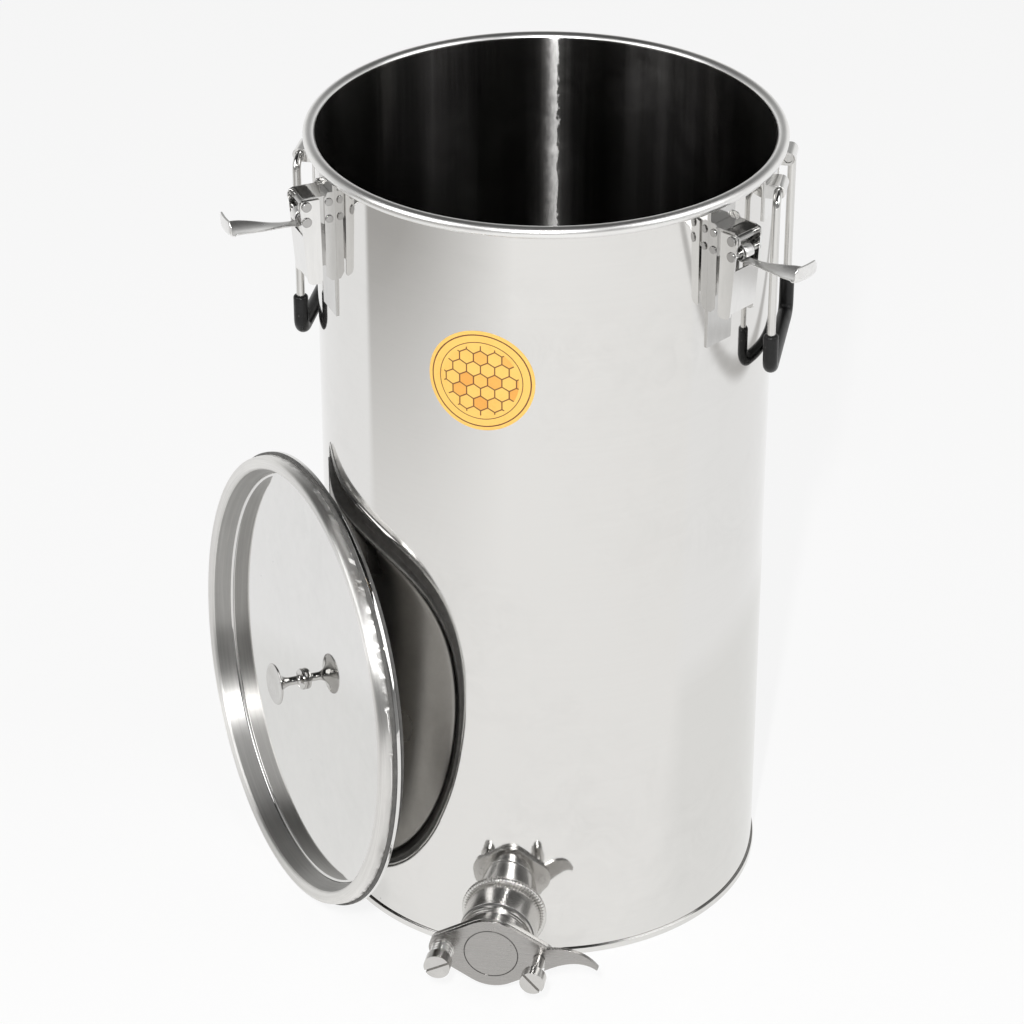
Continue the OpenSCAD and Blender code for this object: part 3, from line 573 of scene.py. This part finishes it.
def rubber_finish(name, colour, rough, grit):
    """Black rubber or moulded plastic: fine grit in its surface, dull patches and a few pale dust specks."""
    material, tree, shader, place = new_finish(name)
    lines = place_group(tree, BRUSHED_GRAIN, stretched(tree, place, (grit, grit, grit)))
    smear = place_group(tree, HANDLING_MARKS, place, Patch_size=22.0)["Smear"]
    speck = place_group(tree, SPECKS, place, Cells=240.0, Share=0.05, Radius=0.09)["Speck"]
    shade = blend(tree, spread(tree, lines["Bands"], 0.3, 0.7), colour, toned(colour, 1.5))
    shade = blend(tree, times(tree, speck, 0.35), shade, (0.3, 0.29, 0.28))
    worn = math_node(tree, "ADD", spread(tree, lines["Lines"], 0.3, 0.7, rough * 0.85, rough * 1.15),
                     times(tree, smear, 0.18))
    tree.links.new(shade, shader.inputs["Base Color"])
    tree.links.new(worn, shader.inputs["Roughness"])
    shader.inputs["Specular IOR Level"].default_value = 0.3
    raise_surface(tree, shader, lines["Lines"], 0.00005, 0.25)
    return material


def comb_cells(tree, flat, size):
    """Six-sided cells on a flat vector: the nearer of two offset grids gives the cell, and the larger of a
    slanted and a level distance gives how far a point is from its middle, 0.5 at its walls. Puts out that
    and the cell."""
    pitch = (1.0, sqrt(3.0), 1.0)
    half = (0.5, sqrt(3.0) / 2, 0.0)
    point = vector_node(tree, "ADD", vector_node(tree, "MULTIPLY", flat, (1 / size, 1 / size, 0.0)),
                        (40.0, 40.0 * sqrt(3.0), 0.0))
    shifted = vector_node(tree, "ADD", point, half)
    first = vector_node(tree, "SUBTRACT", vector_node(tree, "MODULO", point, pitch), half)
    second = vector_node(tree, "SUBTRACT", vector_node(tree, "MODULO", shifted, pitch), half)
    nearer = math_node(tree, "LESS_THAN", vector_node(tree, "DOT_PRODUCT", first, first),
                       vector_node(tree, "DOT_PRODUCT", second, second))
    local = blend(tree, nearer, second, first, "VECTOR")
    size_out = vector_node(tree, "ABSOLUTE", local)
    slant = vector_node(tree, "DOT_PRODUCT", size_out, half)
    level = vector_node(tree, "DOT_PRODUCT", size_out, (1.0, 0.0, 0.0))
    return math_node(tree, "MAXIMUM", slant, level), vector_node(tree, "SUBTRACT", point, local)


def label_finish():
    """Printed film: honey yellow with a soft mottle, two brown rings near its edge, and a patch of comb
    inside them whose cells differ in tint and have brown walls."""
    material, tree, shader, place = new_finish("comb_label_film")
    parts = axis_parts(tree, stretched(tree, place, (1, 1, 1), (0, 0, -LABEL_ANGLE), (0, 0, -LABEL_Z * MM)))
    flat = joined(tree, parts["X"], parts["Z"])
    from_middle = vector_node(tree, "LENGTH", flat)
    wall, cell = comb_cells(tree, flat, LABEL_CELL * MM)
    tint = tree.nodes.new("ShaderNodeTexWhiteNoise")
    tree.links.new(cell, tint.inputs["Vector"])
    mottle = place_group(tree, HANDLING_MARKS, place, Patch_size=55.0)["Smear"]
    paper = blend(tree, mottle, (0.86, 0.52, 0.125), (0.80, 0.45, 0.095))
    inside = math_node(tree, "LESS_THAN", from_middle, LABEL_COMB_R * MM)
    filled = times(tree, inside, spread(tree, tint.outputs["Value"], 0.35, 0.9, 0.0, 0.75))
    shade = blend(tree, filled, paper, (0.70, 0.29, 0.045))
    shade = blend(tree, times(tree, inside, spread(tree, wall, 0.445, 0.47)), shade, PRINT_BROWN)
    ring = math_node(tree, "COMPARE", from_middle, LABEL_RING_R * MM, 0.45 * MM)
    thin = math_node(tree, "COMPARE", from_middle, LABEL_THIN_RING_R * MM, 0.3 * MM)
    shade = blend(tree, math_node(tree, "MAXIMUM", ring, thin), shade, PRINT_BROWN)
    tree.links.new(shade, shader.inputs["Base Color"])
    tree.links.new(spread(tree, mottle, 0.0, 1.0, 0.34, 0.46), shader.inputs["Roughness"])
    return material


def floor_finish():
    """Pale studio ground that keeps the object's shadow. To the camera it is white. In the steel it is white
    too, but for painted reflections: a grey that deepens far out at the left front, a grey strip at the
    right that stands for the end of the ground sheet, and a ring close behind the tank that is a little
    darker."""
    material, tree, shader, place = new_finish("studio_floor")
    cloud = place_group(tree, HANDLING_MARKS, place, Patch_size=1.4)["Smear"]
    ground = blend(tree, cloud, (0.86, 0.86, 0.855), (0.83, 0.83, 0.825))
    tree.links.new(ground, shader.inputs["Base Color"])
    shader.inputs["Roughness"].default_value = 0.9
    shader.inputs["Specular IOR Level"].default_value = 0.0
    away = vector_node(tree, "LENGTH", place)
    parts = axis_parts(tree, place)
    # Painted reflections, seen only in the steel: a grey corner far out at the left front, a grey strip at
    # the right and a darker ring close behind the tank.
    corner = times(tree, spread(tree, away, 0.55, 1.3, 0.15, 0.62), spread(tree, parts["X"], -0.1, -1.15))
    front = blend(tree, corner, (1.0, 0.995, 0.985), (0.06, 0.045, 0.03))
    right = vector_node(tree, "DOT_PRODUCT", place, (0.847, 0.532, 0.0))
    strip = times(tree, spread(tree, right, 0.905, 0.93), spread(tree, right, 0.97, 0.955))
    rear = blend(tree, spread(tree, away, 0.44, 0.5), (0.92, 0.92, 0.91), (1.0, 1.0, 1.0))
    mirrored = blend(tree, spread(tree, parts["Y"], -0.16, -0.1), front, rear)
    mirrored = blend(tree, strip, mirrored, (0.52, 0.51, 0.5))
    light = tree.nodes.new("ShaderNodeLightPath")
    seen = math_node(tree, "MAXIMUM", light.outputs["Is Camera Ray"], light.outputs["Is Glossy Ray"])
    seen = math_node(tree, "MAXIMUM", seen, light.outputs["Is Transmission Ray"])
    glow = blend(tree, light.outputs["Is Camera Ray"], mirrored, (1.0, 1.0, 1.0))
    white = add_node(tree, "ShaderNodeEmission", Strength=1.0)
    tree.links.new(glow, white.inputs["Color"])
    mix = tree.nodes.new("ShaderNodeMixShader")
    fill_inputs(tree, mix, (times(tree, seen, 0.87), shader.outputs[0], white.outputs[0]))
    out = [n for n in tree.nodes if n.bl_idname == "ShaderNodeOutputMaterial"][0]
    tree.links.new(mix.outputs[0], out.inputs["Surface"])
    return material


WALL_STEEL = steel_finish("bright_wall_steel", (0.76, 0.752, 0.737), 0.05, (6, 6, 1500), 7.0, contrast=0.008,
                          puckered=True)
RIM_STEEL = steel_finish("rolled_rim_steel", (0.88, 0.875, 0.862), 0.32, (60, 60, 900), 14.0, 0.05, 0.03)
# Inside of the wall: the outside's steel with its colour painted darker, as painted shade inside the tank.
INNER_STEEL_PAINTED_SHADE = steel_finish("brushed_inner_steel_painted_shade", (0.26, 0.255, 0.245), 0.17, (330, 330, 5), 8.0, 0.03, 0.3,
                           spread_up=1.0, painted_highlight=(-0.029, -0.0195))
# Underside of the lid: the lid's steel with its colour painted darker, as painted shade under the lid.
UNDERSIDE_STEEL_PAINTED_SHADE = steel_finish("underside_steel_painted_shade", (0.40, 0.39, 0.375), 0.3, (90, 90, 90), 9.0, 0.05)
LID_STEEL = steel_finish("polished_lid_steel", (0.75, 0.745, 0.735), 0.04, (90, 90, 90), 9.0, 0.01, 0.012)
CROWN_STEEL = spun_finish("spun_crown_steel", 0.77, 0.4)
# Wall of the lid's well: the crown's spun steel with its colour painted darker, as painted shade.
WELL_STEEL_PAINTED_SHADE = spun_finish("well_steel_painted_shade", 0.45, 0.45)
KNOB_STEEL = steel_finish("turned_knob_steel", (0.60, 0.592, 0.578), 0.1, (400, 400, 400), 40.0, 0.03, 0.04)
CLAMP_STEEL = steel_finish("bright_clamp_steel", (0.80, 0.795, 0.785), 0.1, (260, 260, 40), 30.0, 0.04, 0.03)
BASE_STEEL = steel_finish("dull_base_steel", (0.62, 0.615, 0.605), 0.14, (260, 260, 40), 30.0, 0.04, 0.04)
PIN_STEEL = steel_finish("turned_pin_steel", (0.46, 0.455, 0.447), 0.16, (500, 500, 500), 40.0, 0.05, 0.06)
HOOK_STEEL = steel_finish("pressed_hook_steel", (0.87, 0.865, 0.855), 0.3, (350, 350, 350), 40.0, 0.1, 0.05)
GATE_STEEL = steel_finish("turned_gate_steel", (0.62, 0.61, 0.595), 0.22, (40, 1600, 40), 26.0, 0.1, 0.08)
PLATE_STEEL = steel_finish("satin_plate_steel", (0.41, 0.40, 0.388), 0.26, (60, 500, 1800), 30.0, 0.15, 0.06,
                           etched=(ETCHED_R * MM, ETCHED_HALF_W * MM))
WIRE_STEEL = steel_finish("drawn_wire_steel", (0.72, 0.714, 0.70), 0.1, (700, 700, 30), 30.0, 0.05, 0.04)
WELD_STEEL = steel_finish("welded_steel", (0.66, 0.65, 0.63), 0.2, (700, 700, 700), 60.0, 0.2, 0.1)
SEAL_RUBBER = rubber_finish("dark_seal_rubber", (0.085, 0.083, 0.08), 0.5, 900)
GRIP_PLASTIC = rubber_finish("black_grip_plastic", (0.008, 0.008, 0.0082), 0.3, 700)
LABEL_FILM = label_finish()
FLOOR_WHITE = floor_finish()


def tank_wall():
    """The wall as one sheet: up the outside, round the rolled bead and down the inside, carried round the
    axis. Columns crowd where the outlet's hole is. Rows below the bead are drawn apart by the half height of
    a circle about the outlet's axis, and the quads between the two rows that part are left out, which opens
    the hole."""
    hole_r = STUB_R + 0.05
    edge = np.arcsin(hole_r / TANK_R)
    across = np.arcsin(hole_r / TANK_R * np.sin(np.linspace(-np.pi / 2, np.pi / 2, 33)))
    around = np.concatenate([across, np.linspace(edge, 2 * np.pi - edge, 300)[1:-1]])
    bulge = np.sqrt(np.maximum(hole_r ** 2 - (TANK_R * np.sin(around)) ** 2, 0)) * (np.cos(around) > 0)
    low = np.linspace(0, 1, 6)[:, None]
    below = FOOT_H + (GATE_Z - bulge - FOOT_H) * low
    above = GATE_Z + bulge + (GATE_ROWS_TOP - GATE_Z - bulge) * np.linspace(0, 1, 10)[:, None]
    turn = np.radians(np.linspace(-140.0, 180.0, 33))
    bead_r = BEAD_MID_R + BEAD_R * np.cos(turn)
    bead_z = BEAD_MID_Z + BEAD_R * np.sin(turn)
    outer_top = np.linspace(GATE_ROWS_TOP, bead_z[0], 14)[1:-1, None] + 0 * around
    outside = np.concatenate([below, above, outer_top])
    inner_top = np.linspace(GATE_ROWS_TOP, BEAD_MID_Z, 14)[1:-1, None] + 0 * around
    inside = np.concatenate([below, above, inner_top])[::-1]
    ones = np.ones_like(around)
    z = np.concatenate([outside, bead_z[:, None] * ones, inside])
    r = np.concatenate([np.full(outside.shape, TANK_R), bead_r[:, None] * ones,
                        np.full(inside.shape, TANK_R - SHEET_T)])
    points = np.stack([r * np.sin(around), -r * np.cos(around), z], -1)
    rows, cols = z.shape
    faces = grid_faces(rows, cols, True).reshape(rows, cols, 4)
    split_out = len(below) - 1
    split_in = rows - 1 - len(below)
    kept = np.ones((rows, cols), bool)
    kept[[split_out, split_in]] = False
    strip = np.arange(len(across) - 1)
    mouth = [np.stack([a * cols + strip, a * cols + strip + 1, b * cols + strip + 1, b * cols + strip], -1)
             for a, b in ((split_out, split_in + 1), (split_out + 1, split_in))]
    wall = add_piece("tank_wall", points, "tank", WALL_STEEL, ["tank_shell"],
                     faces=np.concatenate([faces[kept], *mouth]), crease=50)
    middles = face_vectors(wall.data, "center")
    within = np.hypot(middles[:, 0], middles[:, 1]) < (TANK_R - 0.6) * MM
    on_bead = middles[:, 2] > bead_z[0] * MM - 0.002
    # Faces inside the wall get the inner steel, whose colour is painted darker as painted shade.
    paint_faces(wall.data, np.where(within, 1, np.where(on_bead, 2, 0)), INNER_STEEL_PAINTED_SHADE, RIM_STEEL)


def tank_foot():
    """Bottom and foot ring: one outline turned about the axis, with its corners softened and a crease where
    the ring meets the wall."""
    in_r = TANK_R - SHEET_T - 0.05
    outline = np.array([
        [0, BOTTOM_Z], [in_r - 1, BOTTOM_Z], [in_r - 1, FOOT_H], [FOOT_IN_R, FOOT_H - 1], [FOOT_IN_R, 0],
        [FOOT_OUT_R, 0], [FOOT_OUT_R, FOOT_H - 0.4], [TANK_R + 0.9, FOOT_H], [TANK_R + 0.45, FOOT_H - 0.9],
        [TANK_R, FOOT_H], [in_r, FOOT_H], [in_r, BOTTOM_Z + SHEET_T], [0, BOTTOM_Z + SHEET_T]])
    add_piece("tank_foot", turned(softened(outline, 0.5)), "tank", WALL_STEEL, ["tank_bottom"])


def outlet_weld():
    """Weld round the stub: a low bead on the saddle curve where stub and wall meet, its radius rippled along
    it."""
    t = np.linspace(0, 2 * np.pi, 480, endpoint=False)[:, None]
    a = np.linspace(0, 2 * np.pi, 12, endpoint=False)[None]
    ripple = 1 + 0.1 * np.cos(WELD_RIPPLES * t)
    ring = WELD_R + WELD_HALF_W * ripple * np.cos(a)
    x = ring * np.cos(t)
    lift = WELD_LIFT + WELD_HALF_H * ripple * np.sin(a)
    y = -np.sqrt(TANK_R ** 2 - x ** 2) - lift
    points = np.stack([x, y, GATE_Z + ring * np.sin(t)], -1)
    add_piece("outlet_weld", points, "tank", WELD_STEEL, round_rows=True, crease=80)


def pivot_spring():
    """Spring wire: a circle carried along a helix round the pivot screw, with flat ends."""
    s = np.linspace(0, 1, int(40 * SPRING_TURNS))
    a = 2 * np.pi * SPRING_TURNS * s
    rise = SPRING_WIRE_R + (SPRING_LEN - 2 * SPRING_WIRE_R) * s
    out = np.stack([np.cos(a), 0 * a, np.sin(a)], -1)
    path = SPRING_R * out + np.stack([PIVOT_X + 0 * a, -SPRING_FROM - rise, GATE_Z + 0 * a], -1)
    rings = carried(path, out, round_section(SPRING_WIRE_R, 12))
    add_piece("pivot_spring", rings, "tank", WIRE_STEEL, ["gate_spring"])


def clamp_hook(name, degrees, rise):
    """Hook of one strip: a rounded flat section carried along its side view. It rolls round the pin, runs
    out under it and bends up at its tip. It widens like a spoon, and its edges sink below its middle as it
    widens."""
    mid_r = EYE_R - HOOK_T / 2
    roll = np.radians(np.linspace(-12, 262, 40))
    eye = mid_r * np.stack([np.cos(roll), np.sin(roll)], -1)
    bend_r = HOOK_BEND - HOOK_T / 2
    bend_out = HOOK_LEN - HOOK_BEND
    bend = np.radians(np.linspace(-90, 0, 13))
    straight = np.linspace(0, bend_out, 40)[:-1]
    blade = np.stack([straight, np.full(len(straight), -mid_r)], -1)
    corner = np.stack([bend_out + bend_r * np.cos(bend), bend_r - mid_r + bend_r * np.sin(bend)], -1)
    up = np.linspace(corner[-1, 1], HOOK_TIP - EYE_R, 8)[1:]
    tip = np.stack([np.full(len(up), corner[-1, 0]), up], -1)
    side = np.concatenate([eye, blade, corner, tip])
    far = np.concatenate([np.zeros(len(eye)), straight, HOOK_LEN + 0 * bend, HOOK_LEN + up - corner[-1, 1]])
    width = HOOK_STEM_W + (HOOK_W - HOOK_STEM_W) * smooth_step(10, 45, far)
    width -= HOOK_TIP_NARROWING * smooth_step(HOOK_LEN + 3.5, HOOK_LEN + 6.2, far) ** 2
    sink = HOOK_SINK * (width / HOOK_W) ** 2 * smooth_step(8, 30, far)
    sink *= 1 - 0.55 * smooth_step(47, 58, far)
    a = np.linspace(0, 2 * np.pi, 32, endpoint=False)
    across = np.sign(np.cos(a)) * np.abs(np.cos(a)) ** 0.45
    thick = np.sign(np.sin(a)) * np.abs(np.sin(a)) ** 0.6
    section = np.stack([width[:, None] / 2 * across,
                        HOOK_T / 2 * thick + sink[:, None] * across ** 2], -1)
    tilt = radians(rise)
    out = side[:, 0] * cos(tilt) - side[:, 1] * sin(tilt)
    z = side[:, 0] * sin(tilt) + side[:, 1] * cos(tilt)
    path = np.stack([0 * out, -PIN_OUT - out, HOOK_PIN_Z + z], -1)
    rings = carried(path, np.array([1.0, 0, 0]), section)
    add_piece("clamp_%s_spoon" % name, about_axis(rings, degrees), "clamp_%s_hook" % name, HOOK_STEEL,
              ["clamp_%s_hook" % name], crease=60)


def drop_handle(name, degrees):
    """Handle: a round wire bent square with rounded corners, and a sleeve of plastic over its lower part
    whose ends round down to the wire."""
    def to_tank(flat):
        return np.stack([flat[:, 0], np.full(len(flat), -HANDLE_OUT), HANDLE_Z + flat[:, 1]], -1)
    body = "handle_%s" % name
    outward = np.array([0, -1.0, 0])
    wire = to_tank(bent([(-WIRE_END_X, 0), (-LEG_X, 0), (-LEG_X, -HANDLE_DROP), (LEG_X, -HANDLE_DROP),
                         (LEG_X, 0), (WIRE_END_X, 0)], WIRE_BEND))
    rings = about_axis(carried(wire, outward, round_section(WIRE_R, 24)), degrees)
    add_piece(body + "_bail", rings, body, WIRE_STEEL, [body + "_wire"])
    top = WIRE_BEND - HANDLE_DROP + GRIP_UP
    low = bent([(-LEG_X, top), (-LEG_X, -HANDLE_DROP), (LEG_X, -HANDLE_DROP), (LEG_X, top)],
               WIRE_BEND, 14)[1:-1]
    ends = top - np.array([0, 0.15, 0.4, 0.8, 1.3, 2.0, 3.5])
    left = np.stack([np.full(len(ends), -LEG_X), ends], -1)
    right = np.stack([np.full(len(ends), LEG_X), ends[::-1]], -1)
    path = to_tank(np.concatenate([left, low, right]))
    from_end = np.minimum(1, (HANDLE_Z + top - path[:, 2]) / GRIP_ROUND)
    radius = WIRE_R + 0.02 + (GRIP_R - WIRE_R - 0.02) * np.sqrt(1 - (1 - from_end) ** 2)
    rings = about_axis(carried(path, outward, round_section(radius, 28)), degrees)
    add_piece(body + "_sleeve", rings, body, GRIP_PLASTIC, [body + "_grip"])


def lid_outline(t):
    """Upper outline of the pressed lid from its skirt over the crown and down the well's wall to the middle.
    Its underside is the same outline, lower by the sheet and, on the wall, further out by it."""
    return np.concatenate([
        [[PAN_R - t, GASKET_T + t]],
        curve((PAN_R - t, GASKET_T + 3.5), (PAN_R - t, CROWN_H - t), (CROWN_RIDGE_R, CROWN_H - t), 12),
        curve((CROWN_INNER_R + 2 + t / 2, CROWN_INNER_Z + 0.4 - t),
              (CROWN_INNER_R + t / 2, CROWN_INNER_Z - t),
              (CROWN_INNER_R - 0.5 + t, CROWN_INNER_Z - 2 - t / 2), 8),
        curve((PLATE_R + 0.5 + t, PLATE_Z + 2), (PLATE_R + t / 2, PLATE_Z - t / 2),
              (PLATE_R - 2, PLATE_Z - t), 8),
        curve((PLATE_R - 6, PLATE_Z + 0.2 - t), (PLATE_R / 2, PLATE_MID_Z - t),
              (PLATE_FLAT_R, PLATE_MID_Z - t), 20),
        [[0, PLATE_MID_Z - t]]])


def add_spin_map(mesh):
    """A map whose first number runs round the lid's axis and whose second runs along its radius, so that the
    spun gloss knows the spin's direction. Corners past the place where the map wraps round go on from 1
    within their face."""
    points = np.empty(3 * len(mesh.vertices))
    mesh.vertices.foreach_get("co", points)
    middle = on_lid(np.zeros(3))
    axes = on_lid(np.eye(3)) - middle
    own = (points.reshape(-1, 3) / MM - middle) @ axes.T
    corner_point = np.empty(len(mesh.loops), np.int32)
    mesh.loops.foreach_get("vertex_index", corner_point)
    first = np.empty(len(mesh.polygons), np.int32)
    mesh.polygons.foreach_get("loop_start", first)
    count = np.empty(len(mesh.polygons), np.int32)
    mesh.polygons.foreach_get("loop_total", count)
    turn = (np.arctan2(own[:, 1], own[:, 0]) / (2 * np.pi) % 1.0)[corner_point]
    turn += np.repeat(np.maximum.reduceat(turn, first), count) - turn > 0.5
    flat = np.stack([turn, np.hypot(own[:, 0], own[:, 1])[corner_point] / LID_R], -1)
    mesh.uv_layers.new(name="spin").data.foreach_set("uv", flat.ravel())


def lid_dish():
    """Pan of the lid: its upper outline and its underside, turned about the lid's own axis. Faces that look
    back get the lid's steel with its colour painted darker as painted shade, crown and well are spun, and
    the well's wall has its colour painted darker as painted shade."""
    pan = np.concatenate([[[0, PLATE_MID_Z - LID_T]], lid_outline(LID_T)[::-1][1:],
                          [[HEM_IN_R, GASKET_T + LID_T], [HEM_IN_R, GASKET_T], [PAN_R, GASKET_T]],
                          lid_outline(0.0)[1:]])
    dish = add_piece("lid_dish", on_lid(turned(pan, 320)), "lid", LID_STEEL, ["lid_pan"],
                     crease=50)
    middle = on_lid(np.zeros(3))
    forward = on_lid(np.array([0, 0, 1.0])) - middle
    from_middle = face_vectors(dish.data, "center") / MM - middle
    from_axis = np.linalg.norm(np.cross(from_middle, forward), axis=1)
    looks_back = face_vectors(dish.data, "normal") @ forward < -0.3
    on_crown = (from_axis > CROWN_INNER_R - 0.4) & (from_middle @ forward > GASKET_T)
    # Faces that look back and the well's wall get steel whose colour is painted darker as painted shade.
    kind = np.where(looks_back, 1, np.where(from_axis > PLATE_R + 0.3, 3, 0))
    paint_faces(dish.data, np.where(on_crown, 2, kind), UNDERSIDE_STEEL_PAINTED_SHADE, CROWN_STEEL, WELL_STEEL_PAINTED_SHADE)
    add_spin_map(dish.data)


def lid_fittings():
    """Gasket, carrier ring and knob of the lid, each an outline turned about the lid's own axis."""
    ring = np.array([[GASKET_IN_R, GASKET_T], [GASKET_IN_R, -GASKET_LIP], [GASKET_LIP_R, -GASKET_LIP],
                     [GASKET_LIP_R, 0], [LID_R - 0.1, 0], [LID_R - 0.1, GASKET_T]])
    add_piece("lid_seal_ring", on_lid(turned(softened(ring, 0.8))), "lid", SEAL_RUBBER,
              ["lid_gasket"], round_rows=True)
    band = np.array([[CARRIER_IN_R, 0], [CARRIER_IN_R, -CARRIER_T], [LID_R - CARRIER_T, -CARRIER_T],
                     [LID_R - CARRIER_T, -LIP_H], [LID_R, -LIP_H], [LID_R, 0]])
    add_piece("lid_rim_band", on_lid(turned(softened(band, 0.25), 320)), "lid", LID_STEEL,
              ["lid_carrier"], round_rows=True)
    foot_r = KNOB_FOOT_R
    foot = KNOB_FOOT_T
    waist = KNOB_STEM_R - 0.8
    knob = np.concatenate([
        [[0, 0], [foot_r - 0.6, 0]],
        curve((foot_r - 0.3, 0.2), (foot_r + 0.4, foot / 2), (foot_r - 0.4, foot), 6),
        curve((KNOB_STEM_R + 1.8, foot + 0.6), (KNOB_STEM_R - 0.4, foot + 0.9), (waist, foot + 3.2), 6),
        curve((waist, KNOB_H * 0.5), (KNOB_STEM_R + 0.4, KNOB_H - 3.4), (KNOB_R - 0.5, KNOB_H - 1.5), 18),
        curve((KNOB_R - 0.2, KNOB_H - 1.3), (KNOB_R + 0.2, KNOB_H - 0.4), (KNOB_R - 0.8, KNOB_H), 6),
        curve((KNOB_R - 2, KNOB_H), (KNOB_R / 2, KNOB_H - KNOB_HOLLOW), (0, KNOB_H - KNOB_HOLLOW), 10)])
    knob[:, 1] += PLATE_MID_Z
    add_piece("lid_knob_turned", on_lid(turned(knob, 96)), "lid", KNOB_STEEL, ["lid_knob"],
              crease=45)


def round_label():
    """Label: a thin disc on the wall. Distance and direction from its middle are the grid; the sideways
    distance is wrapped round the wall, at the front and at the back."""
    front = np.linspace(0, LABEL_R - 0.2, 40)
    back = np.linspace(LABEL_R - 0.1, 0, 16)
    rho = np.concatenate([front, [LABEL_R, LABEL_R], back])[:, None]
    lift = np.concatenate([np.full(len(front), LABEL_T), [LABEL_T - 0.08, 0.05],
                           np.full(len(back), 0.03)])[:, None]
    a = np.linspace(0, 2 * np.pi, 144, endpoint=False)
    side = LABEL_ANGLE + rho * np.cos(a) / TANK_R
    r = TANK_R + lift + 0 * a
    points = np.stack([r * np.sin(side), -r * np.cos(side), LABEL_Z + rho * np.sin(a)], -1)
    add_piece("comb_label", points, "tank", LABEL_FILM, ["label"])


tank_wall()
tank_foot()
outlet_weld()
pivot_spring()
for clamp, degrees, rise in CLAMPS:
    clamp_hook(clamp, degrees, rise)
for handle, degrees in HANDLES:
    drop_handle(handle, degrees)
lid_dish()
lid_fittings()
round_label()

for node in ("outlet_stub", "gate_body", "gate_pivot_screw", "gate_washer", "gate_clamp_screw"):
    finish_node(node, GATE_STEEL, 0.4)
finish_node("gate_shutter", PLATE_STEEL, 0.4)
for node in ("outlet_seal", "gate_seal"):
    finish_node(node, SEAL_RUBBER, 0.2)
CLAMP_PARTS = (("base", BASE_STEEL, 0.3), ("bridge", BASE_STEEL, 0.3), ("lever", CLAMP_STEEL, 0.3),
               ("lever_pin", PIN_STEEL, 0.35), ("hook_pin", PIN_STEEL, 0.35))
for clamp, _, _ in CLAMPS:
    for part, finish, edge in CLAMP_PARTS:
        finish_node("clamp_%s_%s" % (clamp, part), finish, edge)
finish_node("clamp_rivets", PIN_STEEL, 0.4)
for handle, _ in HANDLES:
    finish_node("handle_%s_bracket" % handle, CLAMP_STEEL, 0.4)
for node in ("lid_washer", "lid_screw"):
    finish_node(node, CLAMP_STEEL, 0.3)


def add_floor():
    """Flat ground under tank and lid."""
    square = ((-1, -1), (1, -1), (1, 1), (-1, 1))
    corners = [(x * FLOOR_HALF, y * FLOOR_HALF, -FLOOR_DROP) for x, y in square]
    mesh = bpy.data.meshes.new("studio_floor")
    mesh.from_pydata(corners, [], [(0, 1, 2, 3)])
    mesh.materials.append(FLOOR_WHITE)
    floor = bpy.data.objects.new("studio_floor", mesh)
    bpy.context.scene.collection.objects.link(floor)


def add_lamp(name, place, aim, size, power):
    """A soft box that faces its aim."""
    data = bpy.data.lights.new(name, "AREA")
    data.shape = "RECTANGLE"
    data.size, data.size_y = size
    data.energy = power
    lamp = bpy.data.objects.new(name, data)
    lamp.location = place
    facing = np.array(aim, float) - np.array(place, float)
    lamp.rotation_mode = "QUATERNION"
    lamp.rotation_quaternion = Vector(facing).to_track_quat("-Z", "Y")
    bpy.context.scene.collection.objects.link(lamp)


def add_studio():
    """World and lamps: plain white behind the object, and for light and reflections a pale horizon that is
    dimmer on the camera's side and falls off to a dark ceiling. A soft box each side, and a small lamp over
    the camera whose gloss, with a painted highlight in the inner steel, makes the bright line down the
    inside."""
    world = bpy.data.worlds.new("studio")
    bpy.context.scene.world = world
    world.use_nodes = True
    tree = world.node_tree
    tree.nodes.clear()
    out = tree.nodes.new("ShaderNodeOutputWorld")
    light = tree.nodes.new("ShaderNodeLightPath")
    place = tree.nodes.new("ShaderNodeTexCoord")
    parts = axis_parts(tree, place.outputs["Generated"])
    ramp = tree.nodes.new("ShaderNodeValToRGB")
    stops = ramp.color_ramp.elements
    stops[0].position = 0.0
    stops[0].color = (0.92, 0.92, 0.91, 1)
    stops[1].position = 1.0
    stops[1].color = (0.05, 0.05, 0.05, 1)
    for position, level in ((0.2, 0.85), (0.36, 0.45), (0.6, 0.14), (0.85, 0.06)):
        stop = stops.new(position)
        stop.color = (level, level, level * 0.99, 1)
    tree.links.new(parts["Z"], ramp.inputs["Fac"])
    around = tree.nodes.new("ShaderNodeBackground")
    tree.links.new(spread(tree, parts["Y"], -0.3, 0.4, 0.3, 1.0), around.inputs["Strength"])
    tree.links.new(ramp.outputs["Color"], around.inputs["Color"])
    behind = add_node(tree, "ShaderNodeBackground", Color=(1, 1, 1, 1), Strength=1.0)
    mix = tree.nodes.new("ShaderNodeMixShader")
    fill_inputs(tree, mix, (light.outputs["Is Camera Ray"], around.outputs[0], behind.outputs[0]))
    tree.links.new(mix.outputs[0], out.inputs["Surface"])
    add_lamp("left_soft_box", (-2.2, -1.6, 2.0), (0, 0, 0.25), (2.2, 2.2), 36)
    add_lamp("right_soft_box", (2.4, -0.6, 2.1), (0, 0, 0.25), (2.2, 2.2), 30)
    add_lamp("camera_lamp", (0.22, -2.3, 2.0), (0, 0, 0.4), (0.06, 0.3), 55)


def add_camera():
    """Camera at the photograph's place: fitted from the rim, the foot and the wall's sides."""
    azimuth = 10.0
    away = 2.2846
    height = 1.6083
    look_down = 30.158
    look_aside = 0.586
    data = bpy.data.cameras.new("photo_camera")
    data.sensor_width = 36.0
    data.lens = 127.1
    camera = bpy.data.objects.new("photo_camera", data)
    camera.location = (away * sin(radians(azimuth)), -away * cos(radians(azimuth)), height)
    camera.rotation_euler = (radians(90 - look_down), 0, radians(azimuth + look_aside))
    bpy.context.scene.collection.objects.link(camera)
    bpy.context.scene.camera = camera


add_floor()
add_studio()
add_camera()
bpy.context.scene.view_settings.view_transform = "Standard"
